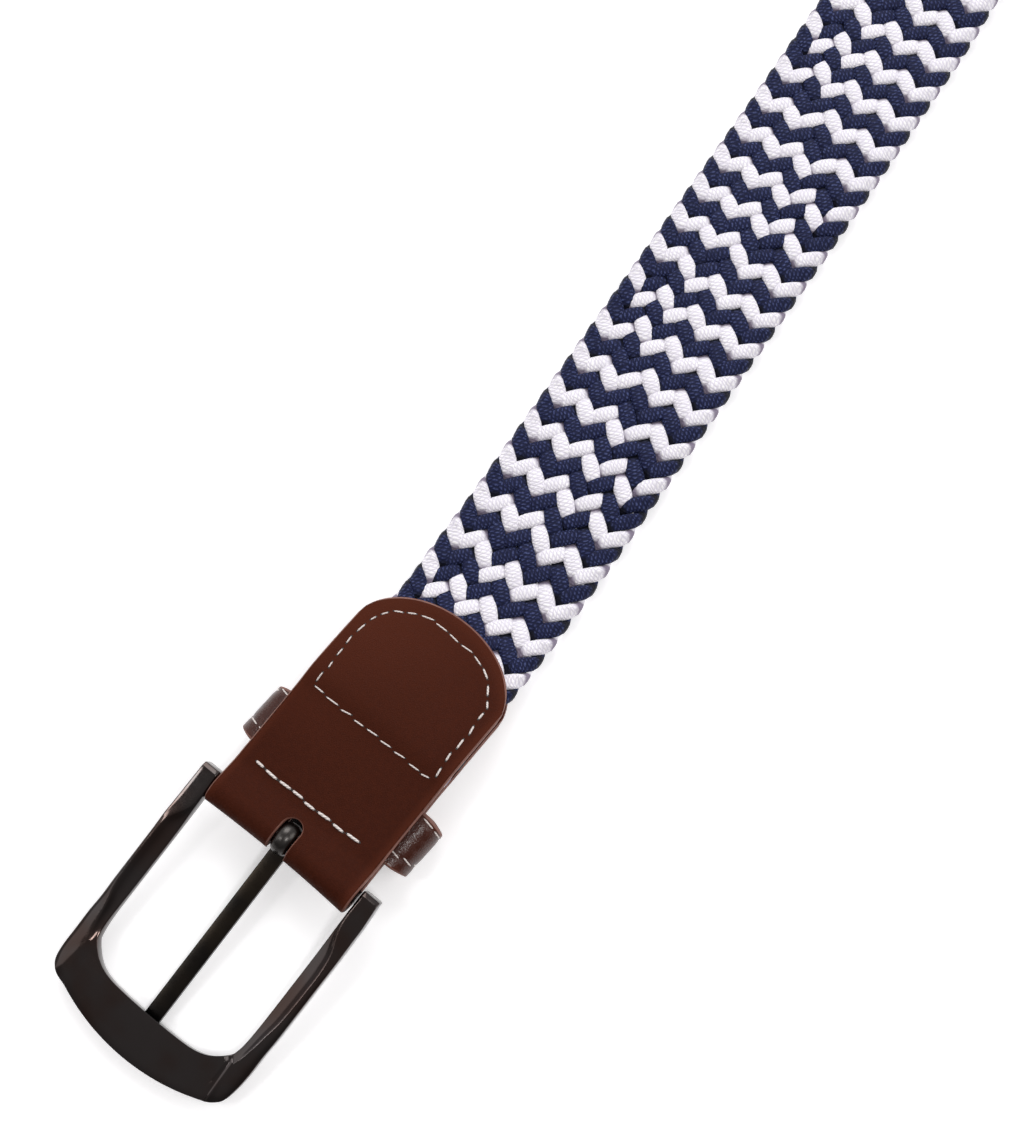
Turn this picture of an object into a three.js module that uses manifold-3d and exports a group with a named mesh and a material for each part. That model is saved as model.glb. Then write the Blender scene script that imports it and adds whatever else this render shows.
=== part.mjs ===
// Braided belt, buckle end: a flat braid sewn into a folded leather tab that holds
// a metal frame and prong, with a leather keeper loop and a plain leather end tip.
// Millimetres, +Z up. +X runs along the belt from the buckle to the free end.
// The belt lies with its worn face down, so the keeper loop and the prong are underneath.

import * as THREE from "three";
import { mergeVertices } from "three/addons/utils/BufferGeometryUtils.js";
import Module from "manifold-3d";

const wasm = await Module();
wasm.setup();

// Driving sizes
const GAP = 0.3;
const LEATHER = 1.6;

// Crossbar that the tab is folded round; the fold's outer face is at x = 0
const BAR_RADIUS = 1.75;
const BAR_X = LEATHER + GAP + BAR_RADIUS;
const BAR_Z = 9.85;
const FOLD_INNER = BAR_RADIUS + GAP;
const FOLD_OUTER = FOLD_INNER + LEATHER;

// Leather tab
const TAB_HALF_WIDTH = 19.9;
const TAB_END = 65.8;
const ARCH_DEPTH = 13.8;
const TAB_CORNER_BREAK = 1.2;
const SLOT_WIDTH = 4.8;
const SLOT_TOP_END = 8.6;
const SLOT_UNDER_END = 10.8;

// Keeper loop, a flat band that runs between the leathers and round underneath
const KEEPER_START = 14.1;
const KEEPER_WIDTH = 14.2;
const KEEPER_THICKNESS = 1.7;
const KEEPER_HEIGHT = 10.1;
const KEEPER_STRAIGHT_HALF = 19.95;
const KEEPER_SIDE_SHIFT = -0.6;
const KEEPER_SKEW_DEG = -3.4;

// Braid
const BRAID_HALF_WIDTH = 17.5;
const BRAID_HALF_THICKNESS = 2.15;
const BRAID_COLUMNS = 8;
const BRAID_START = 34.2;
const BRAID_GROOVE = 0.5;
const BRAID_TURN_DEG = 4.2;
const BEND_START = 58;
const BEND_END = 96;
const STRAP_STEP = 34;

// Plain end tip beyond the visible braid
const TIP_MOUTH = 272;
const TIP_LENGTH = 32;
const TIP_HALF_WIDTH = 18.6;
const TIP_LEATHER = 1.5;
const TIP_POCKET = 18;
const TIP_CLOSED = 23;
const TIP_ROUND = 12;
const TIP_POINT_HEIGHT = 3.6;
const TIP_BRAID_HALF = 1.7;

// Buckle frame, drawn flat about the crossbar and then tipped nose down
const ARM_END_X = 6.0;
const WINDOW_HALF_WIDTH = 20.5;
const BAR_INNER_X = -45.3;
const FRAME_FRONT_X = -55.55;
const FRONT_ARC_RADIUS = 53;
const FRAME_UNDER = 2.3;
const FRAME_TILT_DEG = 7.3;
const FRAME_SIDE_SHIFT = -0.3;
const FRAME_SKEW_DEG = 0.3;
const EDGE_BREAK = 0.5;

// Prong, a flat strip curled round the crossbar
const PRONG_WIDTH = 4.0;
const PRONG_THICKNESS = 2.0;
const PRONG_TIP_X = -50.6;
const PRONG_RISE_DEG = 1.6;
const PRONG_SKEW_DEG = 0.8;
const CURL_INNER = BAR_RADIUS + 0.25;
const CURL_OUTER = CURL_INNER + PRONG_THICKNESS;
const CURL_END_DEG = 158;
const PRONG_TIP_BEVEL = 0.7;
const NOTCH_WIDTH = 5.0;
const NOTCH_END_X = -51.2;
const NOTCH_DEPTH = 2.1;
const NOTCH_Y = -0.15;

const radians = THREE.MathUtils.degToRad;

// Smooth steps through a short table of [x, value] rows
function ease(rows, x) {
  if (x <= rows[0][0]) {
    return rows[0][1];
  }
  for (let i = 1; i < rows.length; i++) {
    const [x1, v1] = rows[i];
    const [x0, v0] = rows[i - 1];
    if (x <= x1) {
      return v0 + (v1 - v0) * THREE.MathUtils.smoothstep(x, x0, x1);
    }
  }
  return rows[rows.length - 1][1];
}

// Height of the middle between the two leathers, and of the braid's middle
const MIDDLE_HEIGHT = [
  [BAR_X, BAR_Z],
  [13, 9.25],
  [33, 9.25],
  [79, BRAID_HALF_THICKNESS],
  [TIP_MOUTH - 30, BRAID_HALF_THICKNESS],
  [TIP_MOUTH, TIP_LEATHER + GAP + TIP_BRAID_HALF],
];

// Half of the space between the two leathers
const HALF_SPACE = [
  [BAR_X, FOLD_INNER],
  [11, 1.0],
  [12.5, KEEPER_THICKNESS / 2 + GAP],
  [31.4, KEEPER_THICKNESS / 2 + GAP],
  [37.5, 2.0],
];

// Half of the braid's thickness, pressed thin between the leathers
const BRAID_HALF_HEIGHT = [
  [BRAID_START, 1.0],
  [38.5, 1.7],
  [TAB_END, 1.7],
  [74, BRAID_HALF_THICKNESS],
  [TIP_MOUTH - 12, BRAID_HALF_THICKNESS],
  [TIP_MOUTH - 2, TIP_BRAID_HALF],
];

// Solids
function toSolid(geometry) {
  const bare = geometry.index ? geometry.toNonIndexed() : geometry.clone();
  bare.deleteAttribute("normal");
  bare.deleteAttribute("uv");
  const merged = mergeVertices(bare, 1e-4);
  const vertProperties = new Float32Array(merged.attributes.position.array);
  const triVerts = new Uint32Array(merged.index.array);
  return new wasm.Manifold(new wasm.Mesh({ numProp: 3, vertProperties, triVerts }));
}

function toGeometry(solid) {
  const mesh = solid.getMesh();
  const geometry = new THREE.BufferGeometry();
  geometry.setAttribute("position", new THREE.BufferAttribute(mesh.vertProperties, 3));
  geometry.setIndex(new THREE.BufferAttribute(mesh.triVerts, 1));
  return geometry;
}

// A flat shape drawn in x and z, pulled out to both sides along y
function extrudeAcross(shape, halfWidth, curveSegments = 12) {
  const options = { depth: 2 * halfWidth, bevelEnabled: false, curveSegments };
  const geometry = new THREE.ExtrudeGeometry(shape, options);
  geometry.translate(0, 0, -halfWidth);
  geometry.rotateX(Math.PI / 2);
  return geometry;
}

// A flat shape drawn in x and y, pulled up from one height to another
function extrudeUp(shape, low, high, curveSegments = 12) {
  const options = { depth: high - low, bevelEnabled: false, curveSegments };
  const geometry = new THREE.ExtrudeGeometry(shape, options);
  geometry.translate(0, 0, low);
  return geometry;
}

// A closed body through sections that all have the same number of points
function loft(sections) {
  const count = sections[0].length;
  const positions = [];
  const indices = [];
  for (const section of sections) {
    for (const point of section) {
      positions.push(point.x, point.y, point.z);
    }
  }
  for (let i = 0; i + 1 < sections.length; i++) {
    for (let j = 0; j < count; j++) {
      const a = i * count + j;
      const b = i * count + ((j + 1) % count);
      indices.push(a, b, a + count);
      indices.push(b, b + count, a + count);
    }
  }
  for (const end of [0, sections.length - 1]) {
    const middle = new THREE.Vector3();
    sections[end].forEach((point) => middle.addScaledVector(point, 1 / count));
    const hub = positions.length / 3;
    positions.push(middle.x, middle.y, middle.z);
    for (let j = 0; j < count; j++) {
      const a = end * count + j;
      const b = end * count + ((j + 1) % count);
      indices.push(...(end === 0 ? [hub, b, a] : [hub, a, b]));
    }
  }
  const geometry = new THREE.BufferGeometry();
  geometry.setAttribute("position", new THREE.Float32BufferAttribute(positions, 3));
  geometry.setIndex(indices);
  return geometry;
}

// Leather tab: the side view of the folded strip, cut to the plan outline
function foldedStripSide() {
  const outer = [];
  const inner = [];
  const side = (sign) => {
    for (const x of [8, 9.5, 11, 12.5, 20, 26, 31.4, 34, 37.5, 44, 50, 56, 61, TAB_END + 1]) {
      const middle = ease(MIDDLE_HEIGHT, x);
      const half = ease(HALF_SPACE, x);
      inner.push([x, middle + sign * half]);
      outer.push([x, middle + sign * (half + LEATHER)]);
    }
  };
  side(1);
  const top = { inner: inner.splice(0), outer: outer.splice(0) };
  side(-1);
  const under = { inner: inner.splice(0), outer: outer.splice(0) };
  const shape = new THREE.Shape();
  shape.moveTo(...top.outer.at(-1));
  top.outer.slice(0, -1).reverse().forEach((point) => shape.lineTo(...point));
  shape.absarc(BAR_X, BAR_Z, FOLD_OUTER, radians(80), radians(280), false);
  under.outer.forEach((point) => shape.lineTo(...point));
  under.inner.reverse().forEach((point) => shape.lineTo(...point));
  shape.absarc(BAR_X, BAR_Z, FOLD_INNER, radians(280), radians(80), true);
  top.inner.forEach((point) => shape.lineTo(...point));
  shape.closePath();
  return shape;
}

function tabPlan() {
  const archStart = TAB_END - ARCH_DEPTH;
  const corner = TAB_CORNER_BREAK;
  const shape = new THREE.Shape();
  shape.moveTo(archStart, -TAB_HALF_WIDTH);
  shape.absellipse(archStart, 0, ARCH_DEPTH, TAB_HALF_WIDTH, -Math.PI / 2, Math.PI / 2, false, 0);
  shape.lineTo(-1 + corner, TAB_HALF_WIDTH);
  shape.lineTo(-1, TAB_HALF_WIDTH - corner);
  shape.lineTo(-1, -TAB_HALF_WIDTH + corner);
  shape.lineTo(-1 + corner, -TAB_HALF_WIDTH);
  shape.closePath();
  return shape;
}

function slotPlan(end) {
  const half = SLOT_WIDTH / 2;
  const shape = new THREE.Shape();
  shape.moveTo(-2, -half);
  shape.lineTo(end - half, -half);
  shape.absarc(end - half, 0, half, -Math.PI / 2, Math.PI / 2, false);
  shape.lineTo(-2, half);
  shape.closePath();
  return shape;
}

function makeTab() {
  const strip = toSolid(extrudeAcross(foldedStripSide(), TAB_HALF_WIDTH + 2, 10));
  const plan = toSolid(extrudeUp(tabPlan(), -1, 20, 14));
  const topSlot = toSolid(extrudeUp(slotPlan(SLOT_TOP_END), BAR_Z, 20, 8));
  const underSlot = toSolid(extrudeUp(slotPlan(SLOT_UNDER_END), -1, BAR_Z, 8));
  return toGeometry(strip.intersect(plan).subtract(topSlot).subtract(underSlot));
}

// Keeper loop: a stadium ring drawn in y and z, as wide as the band along x
function stadium(path, straightHalf, radius, middleHeight) {
  path.moveTo(-straightHalf, middleHeight - radius);
  path.lineTo(straightHalf, middleHeight - radius);
  path.absarc(straightHalf, middleHeight, radius, -Math.PI / 2, Math.PI / 2, false);
  path.lineTo(-straightHalf, middleHeight + radius);
  path.absarc(-straightHalf, middleHeight, radius, Math.PI / 2, 1.5 * Math.PI, false);
  return path;
}

function makeKeeper() {
  const radius = KEEPER_HEIGHT / 2;
  const ring = stadium(new THREE.Shape(), KEEPER_STRAIGHT_HALF, radius, radius);
  ring.holes.push(stadium(new THREE.Path(), KEEPER_STRAIGHT_HALF, radius - KEEPER_THICKNESS, radius));
  const geometry = extrudeUp(ring, -KEEPER_WIDTH / 2, KEEPER_WIDTH / 2, 12);
  geometry.rotateX(Math.PI / 2);
  geometry.rotateZ(Math.PI / 2);
  return geometry;
}

// Buckle frame: one row for each section of half the frame, from the arm's end to the
// middle of the front bar. The ridge parts the outer cheek from the scoop, which slopes to
// the window. A low row beside the front bar's face makes the groove there.
function frontX(y) {
  return FRAME_FRONT_X + FRONT_ARC_RADIUS - Math.sqrt(FRONT_ARC_RADIUS ** 2 - y ** 2);
}

const FRAME_COLUMNS = [
  "outerX", "outerY", "ridgeX", "ridgeY", "innerX", "innerY", "height", "cheek", "dip",
];
const FRAME_ROWS = [
  [ARM_END_X, 24.95, ARM_END_X, 21.0, ARM_END_X, WINDOW_HALF_WIDTH, 1.6, 0.3, 0.3],
  [5.0, 24.95, 5.0, 21.0, 5.0, WINDOW_HALF_WIDTH, 2.3, 0.4, 0.4],
  [-0.5, 25.05, -0.5, 20.9, -0.5, WINDOW_HALF_WIDTH, 2.3, 0.4, 0.4],
  [-4.1, 25.1, -4.1, 21.4, -4.1, WINDOW_HALF_WIDTH, 2.3, 0.5, 0.7],
  [-8.6, 25.2, -8.6, 23.2, -8.6, WINDOW_HALF_WIDTH, 2.3, 0.6, 1.5],
  [-12.4, 25.2, -12.4, 23.8, -12.4, WINDOW_HALF_WIDTH, 2.3, 0.6, 1.8],
  [-17.0, 25.2, -17.0, 23.95, -17.0, WINDOW_HALF_WIDTH, 2.3, 0.6, 1.9],
  [-26.6, 25.2, -26.6, 23.7, -26.6, WINDOW_HALF_WIDTH, 2.3, 0.7, 1.8],
  [-31.5, 25.2, -31.5, 23.0, -31.5, WINDOW_HALF_WIDTH, 2.3, 0.9, 1.5],
  [-36.0, 25.2, -35.5, 22.4, -35.0, 20.4, 2.3, 1.1, 1.2],
  [-40.6, 25.2, -38.1, 21.9, -37.2, 20.2, 2.25, 1.3, 1.0],
  [-45.2, 25.0, -39.4, 21.5, -38.4, 19.95, 2.2, 1.4, 0.9],
  [-48.6, 24.4, -40.2, 21.2, -39.1, 19.75, 2.15, 1.4, 0.9],
  [-50.4, 22.9, -40.7, 21.0, -39.6, 19.55, 2.1, 1.1, 0.9],
  [-51.2, 21.4, -41.0, 20.8, -40.0, 19.35, 2.1, 0.6, 0.9],
  [-51.5, 20.6, -41.3, 20.3, -40.4, 19.15, 1.8, 0.4, 0.7],
  [frontX(19.4), 19.4, -41.8, 19.5, -41.0, 18.7, 2.3, 0.5, 0.9],
  [frontX(17), 17, -43.7, 17.4, -42.8, 16.8, 2.3, 0.5, 0.9],
  [frontX(14), 14, -45.1, 15.1, -44.0, 14.6, 2.3, 0.5, 0.9],
  [frontX(10.5), 10.5, -46.1, 12.0, -44.8, 11.8, 2.3, 0.5, 0.9],
  [frontX(7), 7, -46.45, 8.5, -45.15, 8.5, 2.3, 0.5, 0.9],
  [frontX(3.5), 3.5, -46.5, 4.2, -45.25, 4.2, 2.3, 0.5, 0.9],
  [FRAME_FRONT_X, 0, -46.5, 0, BAR_INNER_X, 0, 2.3, 0.5, 0.9],
];

function frameSection(row, sign) {
  const size = Object.fromEntries(FRAME_COLUMNS.map((name, i) => [name, row[i]]));
  const outer = new THREE.Vector3(size.outerX, sign * size.outerY, 0);
  const ridge = new THREE.Vector3(size.ridgeX, sign * size.ridgeY, 0);
  const inner = new THREE.Vector3(size.innerX, sign * size.innerY, 0);
  const between = (a, b, share, height) => a.clone().lerp(b, share).setZ(height);
  const across = inner.clone().sub(outer).normalize();
  const at = (from, distance, height) => from.clone().addScaledVector(across, distance).setZ(height);
  return [
    at(outer, EDGE_BREAK, -FRAME_UNDER),
    at(outer, 0, -FRAME_UNDER + EDGE_BREAK),
    at(outer, 0, size.height - size.cheek),
    between(outer, ridge, 0.4, size.height - 0.35 * size.cheek),
    at(ridge, 0, size.height),
    between(ridge, inner, 0.5, size.height - 0.62 * size.dip),
    at(inner, 0, size.height - size.dip),
    at(inner, 0, -FRAME_UNDER + EDGE_BREAK),
    at(inner, -EDGE_BREAK, -FRAME_UNDER),
  ].reverse();
}

function makeFrame() {
  const leftHalf = FRAME_ROWS.map((row) => frameSection(row, 1));
  const rightHalf = FRAME_ROWS.slice(0, -1).reverse().map((row) => frameSection(row, -1));
  const body = toSolid(loft([...leftHalf, ...rightHalf]));
  const notchLength = BAR_INNER_X - NOTCH_END_X + 1;
  const notch = new THREE.BoxGeometry(notchLength, NOTCH_WIDTH, 2 * NOTCH_DEPTH);
  notch.translate(NOTCH_END_X + notchLength / 2, NOTCH_Y, -FRAME_UNDER);
  const geometry = toGeometry(body.subtract(toSolid(notch)));
  geometry.translate(-BAR_X, FRAME_SIDE_SHIFT, 0);
  geometry.rotateZ(radians(FRAME_SKEW_DEG));
  return geometry;
}

// Prong: the strip's side view about the crossbar, pulled out to its width
function makeProng() {
  const under = -CURL_OUTER;
  const top = -CURL_INNER;
  const tip = PRONG_TIP_X - BAR_X;
  const shape = new THREE.Shape();
  shape.moveTo(tip + 2 * PRONG_TIP_BEVEL, under);
  shape.lineTo(0, under);
  shape.absarc(0, 0, CURL_OUTER, -Math.PI / 2, radians(CURL_END_DEG), false);
  shape.lineTo(-CURL_OUTER - 0.2, top);
  shape.lineTo(tip + PRONG_TIP_BEVEL, top);
  shape.lineTo(tip, top - PRONG_TIP_BEVEL);
  shape.lineTo(tip, top - 2 * PRONG_TIP_BEVEL);
  shape.closePath();
  const eye = new THREE.Path();
  eye.absarc(0, 0, CURL_INNER, 0, 2 * Math.PI, true);
  shape.holes.push(eye);
  const geometry = extrudeAcross(shape, PRONG_WIDTH / 2, 24);
  geometry.rotateY(radians(PRONG_RISE_DEG));
  geometry.rotateZ(radians(PRONG_SKEW_DEG));
  return geometry;
}

// Braid: where its middle runs, seen from above, and its ribbed section
function braidMiddle(x) {
  const slope = Math.tan(radians(BRAID_TURN_DEG));
  const t = THREE.MathUtils.clamp((x - BEND_START) / (BEND_END - BEND_START), 0, 1);
  const bend = (slope * (BEND_END - BEND_START) * t * t) / 2;
  const straight = slope * Math.max(0, x - BEND_END);
  return new THREE.Vector3(x, bend + straight, ease(MIDDLE_HEIGHT, x));
}

function braidSection(x) {
  const middle = braidMiddle(x);
  const ahead = braidMiddle(x + 0.5).sub(braidMiddle(x - 0.5)).normalize();
  const side = new THREE.Vector3(-ahead.y, ahead.x, 0).normalize();
  const up = new THREE.Vector3().crossVectors(ahead, side);
  const half = ease(BRAID_HALF_HEIGHT, x);
  const ribs = 2 * BRAID_COLUMNS;
  const points = [];
  const place = (across, height) => {
    points.push(middle.clone().addScaledVector(side, across).addScaledVector(up, height));
  };
  const row = (sign) => {
    for (let i = 1; i < ribs; i++) {
      const across = sign * BRAID_HALF_WIDTH * ((2 * i) / ribs - 1);
      const height = i % 2 === 1 ? half : half - BRAID_GROOVE;
      place(across, sign * -height);
    }
  };
  place(-BRAID_HALF_WIDTH, 0);
  row(1);
  place(BRAID_HALF_WIDTH, 0);
  row(-1);
  return points;
}

function makeBraid() {
  const stations = [BRAID_START, 36, 38.5, 44, 50, BEND_START, 62, TAB_END, 70, 74, 79, 84, 90];
  for (let x = BEND_END; x < TIP_MOUTH - 40; x += STRAP_STEP) {
    stations.push(x);
  }
  stations.push(TIP_MOUTH - 30, TIP_MOUTH - 22, TIP_MOUTH - 14, TIP_MOUTH - 7, TIP_MOUTH - 2);
  stations.push(TIP_MOUTH + TIP_POCKET - GAP);
  return loft(stations.map(braidSection));
}

// End tip: two leathers that meet past the braid's end, in the braid's own direction
function makeTip() {
  const height = 2 * (TIP_LEATHER + GAP + TIP_BRAID_HALF);
  const middle = height / 2;
  const space = TIP_BRAID_HALF + GAP;
  const shape = new THREE.Shape();
  shape.moveTo(0, 0);
  shape.lineTo(TIP_LENGTH + 1, 0);
  shape.lineTo(TIP_LENGTH + 1, TIP_POINT_HEIGHT);
  shape.lineTo(TIP_CLOSED, TIP_POINT_HEIGHT + 0.7);
  shape.lineTo(TIP_POCKET, height);
  shape.lineTo(0, height);
  shape.lineTo(0, middle + space);
  shape.lineTo(TIP_POCKET, middle + space);
  shape.lineTo(TIP_POCKET, middle - space);
  shape.lineTo(0, middle - space);
  shape.closePath();
  const roundStart = TIP_LENGTH - TIP_ROUND;
  const plan = new THREE.Shape();
  plan.moveTo(0, -TIP_HALF_WIDTH);
  plan.lineTo(roundStart, -TIP_HALF_WIDTH);
  plan.absellipse(roundStart, 0, TIP_ROUND, TIP_HALF_WIDTH, -Math.PI / 2, Math.PI / 2, false, 0);
  plan.lineTo(0, TIP_HALF_WIDTH);
  plan.closePath();
  const side = toSolid(extrudeAcross(shape, TIP_HALF_WIDTH + 2, 10));
  return toGeometry(side.intersect(toSolid(extrudeUp(plan, -1, height + 1, 14))));
}

// Finishes
function finish(color, roughness, metalness) {
  return new THREE.MeshStandardMaterial({ color, roughness, metalness });
}

const leather = finish(0x4a2015, 0.5, 0);
const cordNavy = finish(0x1c2547, 0.85, 0);
const gunmetal = finish(0x2c2828, 0.22, 1);

function mesh(name, geometry, material) {
  const piece = new THREE.Mesh(geometry, material);
  piece.name = name;
  return piece;
}

// Assembly
const belt = new THREE.Group();
belt.add(mesh("leather_tab", makeTab(), leather));
belt.add(mesh("braided_strap", makeBraid(), cordNavy));

const keeper = mesh("keeper_loop", makeKeeper(), leather);
keeper.position.set(KEEPER_START + KEEPER_WIDTH / 2, KEEPER_SIDE_SHIFT, 0);
keeper.rotation.z = radians(KEEPER_SKEW_DEG);
belt.add(keeper);

const buckle = new THREE.Group();
buckle.position.set(BAR_X, 0, BAR_Z);
buckle.rotation.y = -radians(FRAME_TILT_DEG);
buckle.add(mesh("buckle_frame", makeFrame(), gunmetal));
const barLength = 2 * (WINDOW_HALF_WIDTH - GAP);
const bar = new THREE.CylinderGeometry(BAR_RADIUS, BAR_RADIUS, barLength, 24);
bar.translate(0, FRAME_SIDE_SHIFT, 0);
buckle.add(mesh("crossbar", bar, gunmetal));
buckle.add(mesh("prong", makeProng(), gunmetal));
belt.add(buckle);

const tip = mesh("end_tip", makeTip(), leather);
const mouth = braidMiddle(TIP_MOUTH);
tip.position.set(mouth.x, mouth.y, 0);
tip.rotation.z = radians(BRAID_TURN_DEG);
belt.add(tip);

// The origin is under the middle of the whole part, on the surface it lies on
const bounds = new THREE.Box3().setFromObject(belt, true);
const centre = bounds.getCenter(new THREE.Vector3());
const part = new THREE.Group();
part.add(belt);
belt.position.set(-centre.x, -centre.y, -bounds.min.z);

export default part;
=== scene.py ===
"""Braided belt, buckle end: the dressed model.

Belt layout in millimetres: x runs from the outer face of the tab's fold to the free end,
y is zero on the tab's middle line and grows to the left, z is zero on the floor. Every
mesh is placed from it in metres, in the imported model's frame.
"""

import logging
import math
from bisect import bisect_left
from collections.abc import Callable, Sequence
from dataclasses import dataclass
from enum import Enum
from typing import Any

import bpy
from mathutils import Matrix, Vector


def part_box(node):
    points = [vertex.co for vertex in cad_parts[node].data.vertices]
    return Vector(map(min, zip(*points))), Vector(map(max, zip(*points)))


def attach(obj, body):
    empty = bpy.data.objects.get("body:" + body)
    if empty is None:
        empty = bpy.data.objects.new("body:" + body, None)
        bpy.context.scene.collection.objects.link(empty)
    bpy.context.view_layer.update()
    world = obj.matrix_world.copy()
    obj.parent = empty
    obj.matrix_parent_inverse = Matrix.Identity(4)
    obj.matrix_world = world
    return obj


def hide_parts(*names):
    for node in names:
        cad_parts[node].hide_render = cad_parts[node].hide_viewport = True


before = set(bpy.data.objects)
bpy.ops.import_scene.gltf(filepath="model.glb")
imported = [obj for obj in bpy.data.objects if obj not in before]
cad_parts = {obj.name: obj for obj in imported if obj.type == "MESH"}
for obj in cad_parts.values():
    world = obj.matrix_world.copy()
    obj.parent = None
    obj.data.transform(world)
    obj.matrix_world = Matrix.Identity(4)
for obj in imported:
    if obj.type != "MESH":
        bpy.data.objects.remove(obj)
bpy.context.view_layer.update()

log = logging.getLogger("braided_belt")

MM = 0.001
Pair = tuple[float, float]
Triple = tuple[float, float, float]
Color = tuple[float, float, float, float]
Stitch = tuple[float, float, float, float]
Step = tuple[float, ...]
Rows = tuple[Pair, ...]
Piece = bpy.types.Object
Socket = bpy.types.NodeSocket
Sockets = bpy.types.bpy_prop_collection
Material = bpy.types.Material
Materials = Sequence[Material]


class Body(Enum):
    """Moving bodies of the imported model."""

    ROOT = "root"
    BUCKLE = "buckle"
    TONGUE = "tongue"


class Slot(Enum):
    """Names of the material slots."""

    LEATHER = "leather"
    GUNMETAL = "gunmetal"
    NAVY = "navy_cord"
    WHITE = "white_cord"
    THREAD = "thread"


# Belt layout


def ease(rows: Rows, x: float) -> float:
    """Steps smoothly through a short table.

    Args:
        rows: pairs of x and value, in rising x.
        x: where to read the table.

    Returns:
        The value at x.
    """
    if x <= rows[0][0]:
        return rows[0][1]
    for (x0, v0), (x1, v1) in zip(rows, rows[1:]):
        if x <= x1:
            t = (x - x0) / (x1 - x0)
            return v0 + (v1 - v0) * t * t * (3 - 2 * t)
    return rows[-1][1]


@dataclass(frozen=True)
class BeltLine:
    """The belt's side path and bend, which its leathers, braid and stitches follow."""

    leather: float = 1.6
    bar_x: float = 3.65
    bar_z: float = 9.85
    fold_radius: float = 2.85
    tab_half_width: float = 20.05
    tab_end: float = 65.8
    arch_depth: float = 13.8
    bend_start: float = 58.0
    bend_end: float = 96.0
    turn_deg: float = 4.2
    middle_rows: Rows = (
        (3.65, 9.85), (13.0, 9.25), (33.0, 9.25), (79.0, 2.15), (242.0, 2.15), (272.0, 3.5),
    )
    space_rows: Rows = ((3.65, 2.05), (11.0, 1.0), (12.5, 1.15), (31.4, 1.15), (37.5, 2.0))

    def origin(self) -> Vector:
        """Gives the layout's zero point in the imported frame, in metres."""
        low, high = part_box("leather_tab")
        return Vector((low.x, (low.y + high.y) / 2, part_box("keeper_loop")[0].z))

    def middle(self, x: float) -> float:
        """Gives the height of the middle between the two leathers."""
        return ease(self.middle_rows, x)

    def leather_height(self, x: float, side: int) -> float:
        """Gives the height of one leather's mid-surface; side is 1 for the top one, -1 below."""
        return self.middle(x) + side * (ease(self.space_rows, x) + self.leather / 2)

    def face_height(self, x: float, side: int) -> float:
        """Gives the height of one leather's outer face."""
        return self.leather_height(x, side) + side * self.leather / 2

    def arch_x(self, y: float) -> float:
        """Gives where the tab's round end lies at a distance across."""
        share = min(1.0, abs(y) / self.tab_half_width)
        return self.tab_end - self.arch_depth * (1 - math.sqrt(1 - share * share))

    def along(self, distance: float) -> Vector:
        """Finds the braid's middle at a distance along it, seen from above."""
        slope = math.tan(math.radians(self.turn_deg))
        x = distance
        if distance > self.bend_end:
            turn = math.cos(math.radians(self.turn_deg))
            x = self.bend_end + (distance - self.bend_end) * turn
        t = min(1.0, max(0.0, (x - self.bend_start) / (self.bend_end - self.bend_start)))
        bend = slope * (self.bend_end - self.bend_start) * t * t / 2
        return Vector((x, bend + slope * max(0.0, x - self.bend_end), self.middle(x)))

    def braid_axes(self, distance: float) -> tuple[Vector, Vector, Vector]:
        """Gives the braid's middle, sideways and upward directions at a distance along it."""
        ahead = (self.along(distance + 0.5) - self.along(distance - 0.5)).normalized()
        side = Vector((-ahead.y, ahead.x, 0)).normalized()
        return self.along(distance), side, ahead.cross(side)


LINE = BeltLine()
ORIGIN = LINE.origin()


@dataclass(frozen=True)
class Seam:
    """A run of stitches; each row gives where one starts and ends, as x, y, x, y."""

    thick: float
    stitches: tuple[Stitch, ...]

    def distance(self, x: float, y: float) -> float:
        """Gives how far a place is from the seam's line."""
        chain = [Vector(row[k : k + 2]) for row in self.stitches for k in (0, 2)]
        spot = Vector((x, y))
        nearest = math.inf
        for first, second in zip(chain, chain[1:]):
            way = second - first
            share = (spot - first).dot(way) / way.length_squared
            nearest = min(nearest, (first + way * min(1.0, max(0.0, share)) - spot).length)
        return nearest


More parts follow.
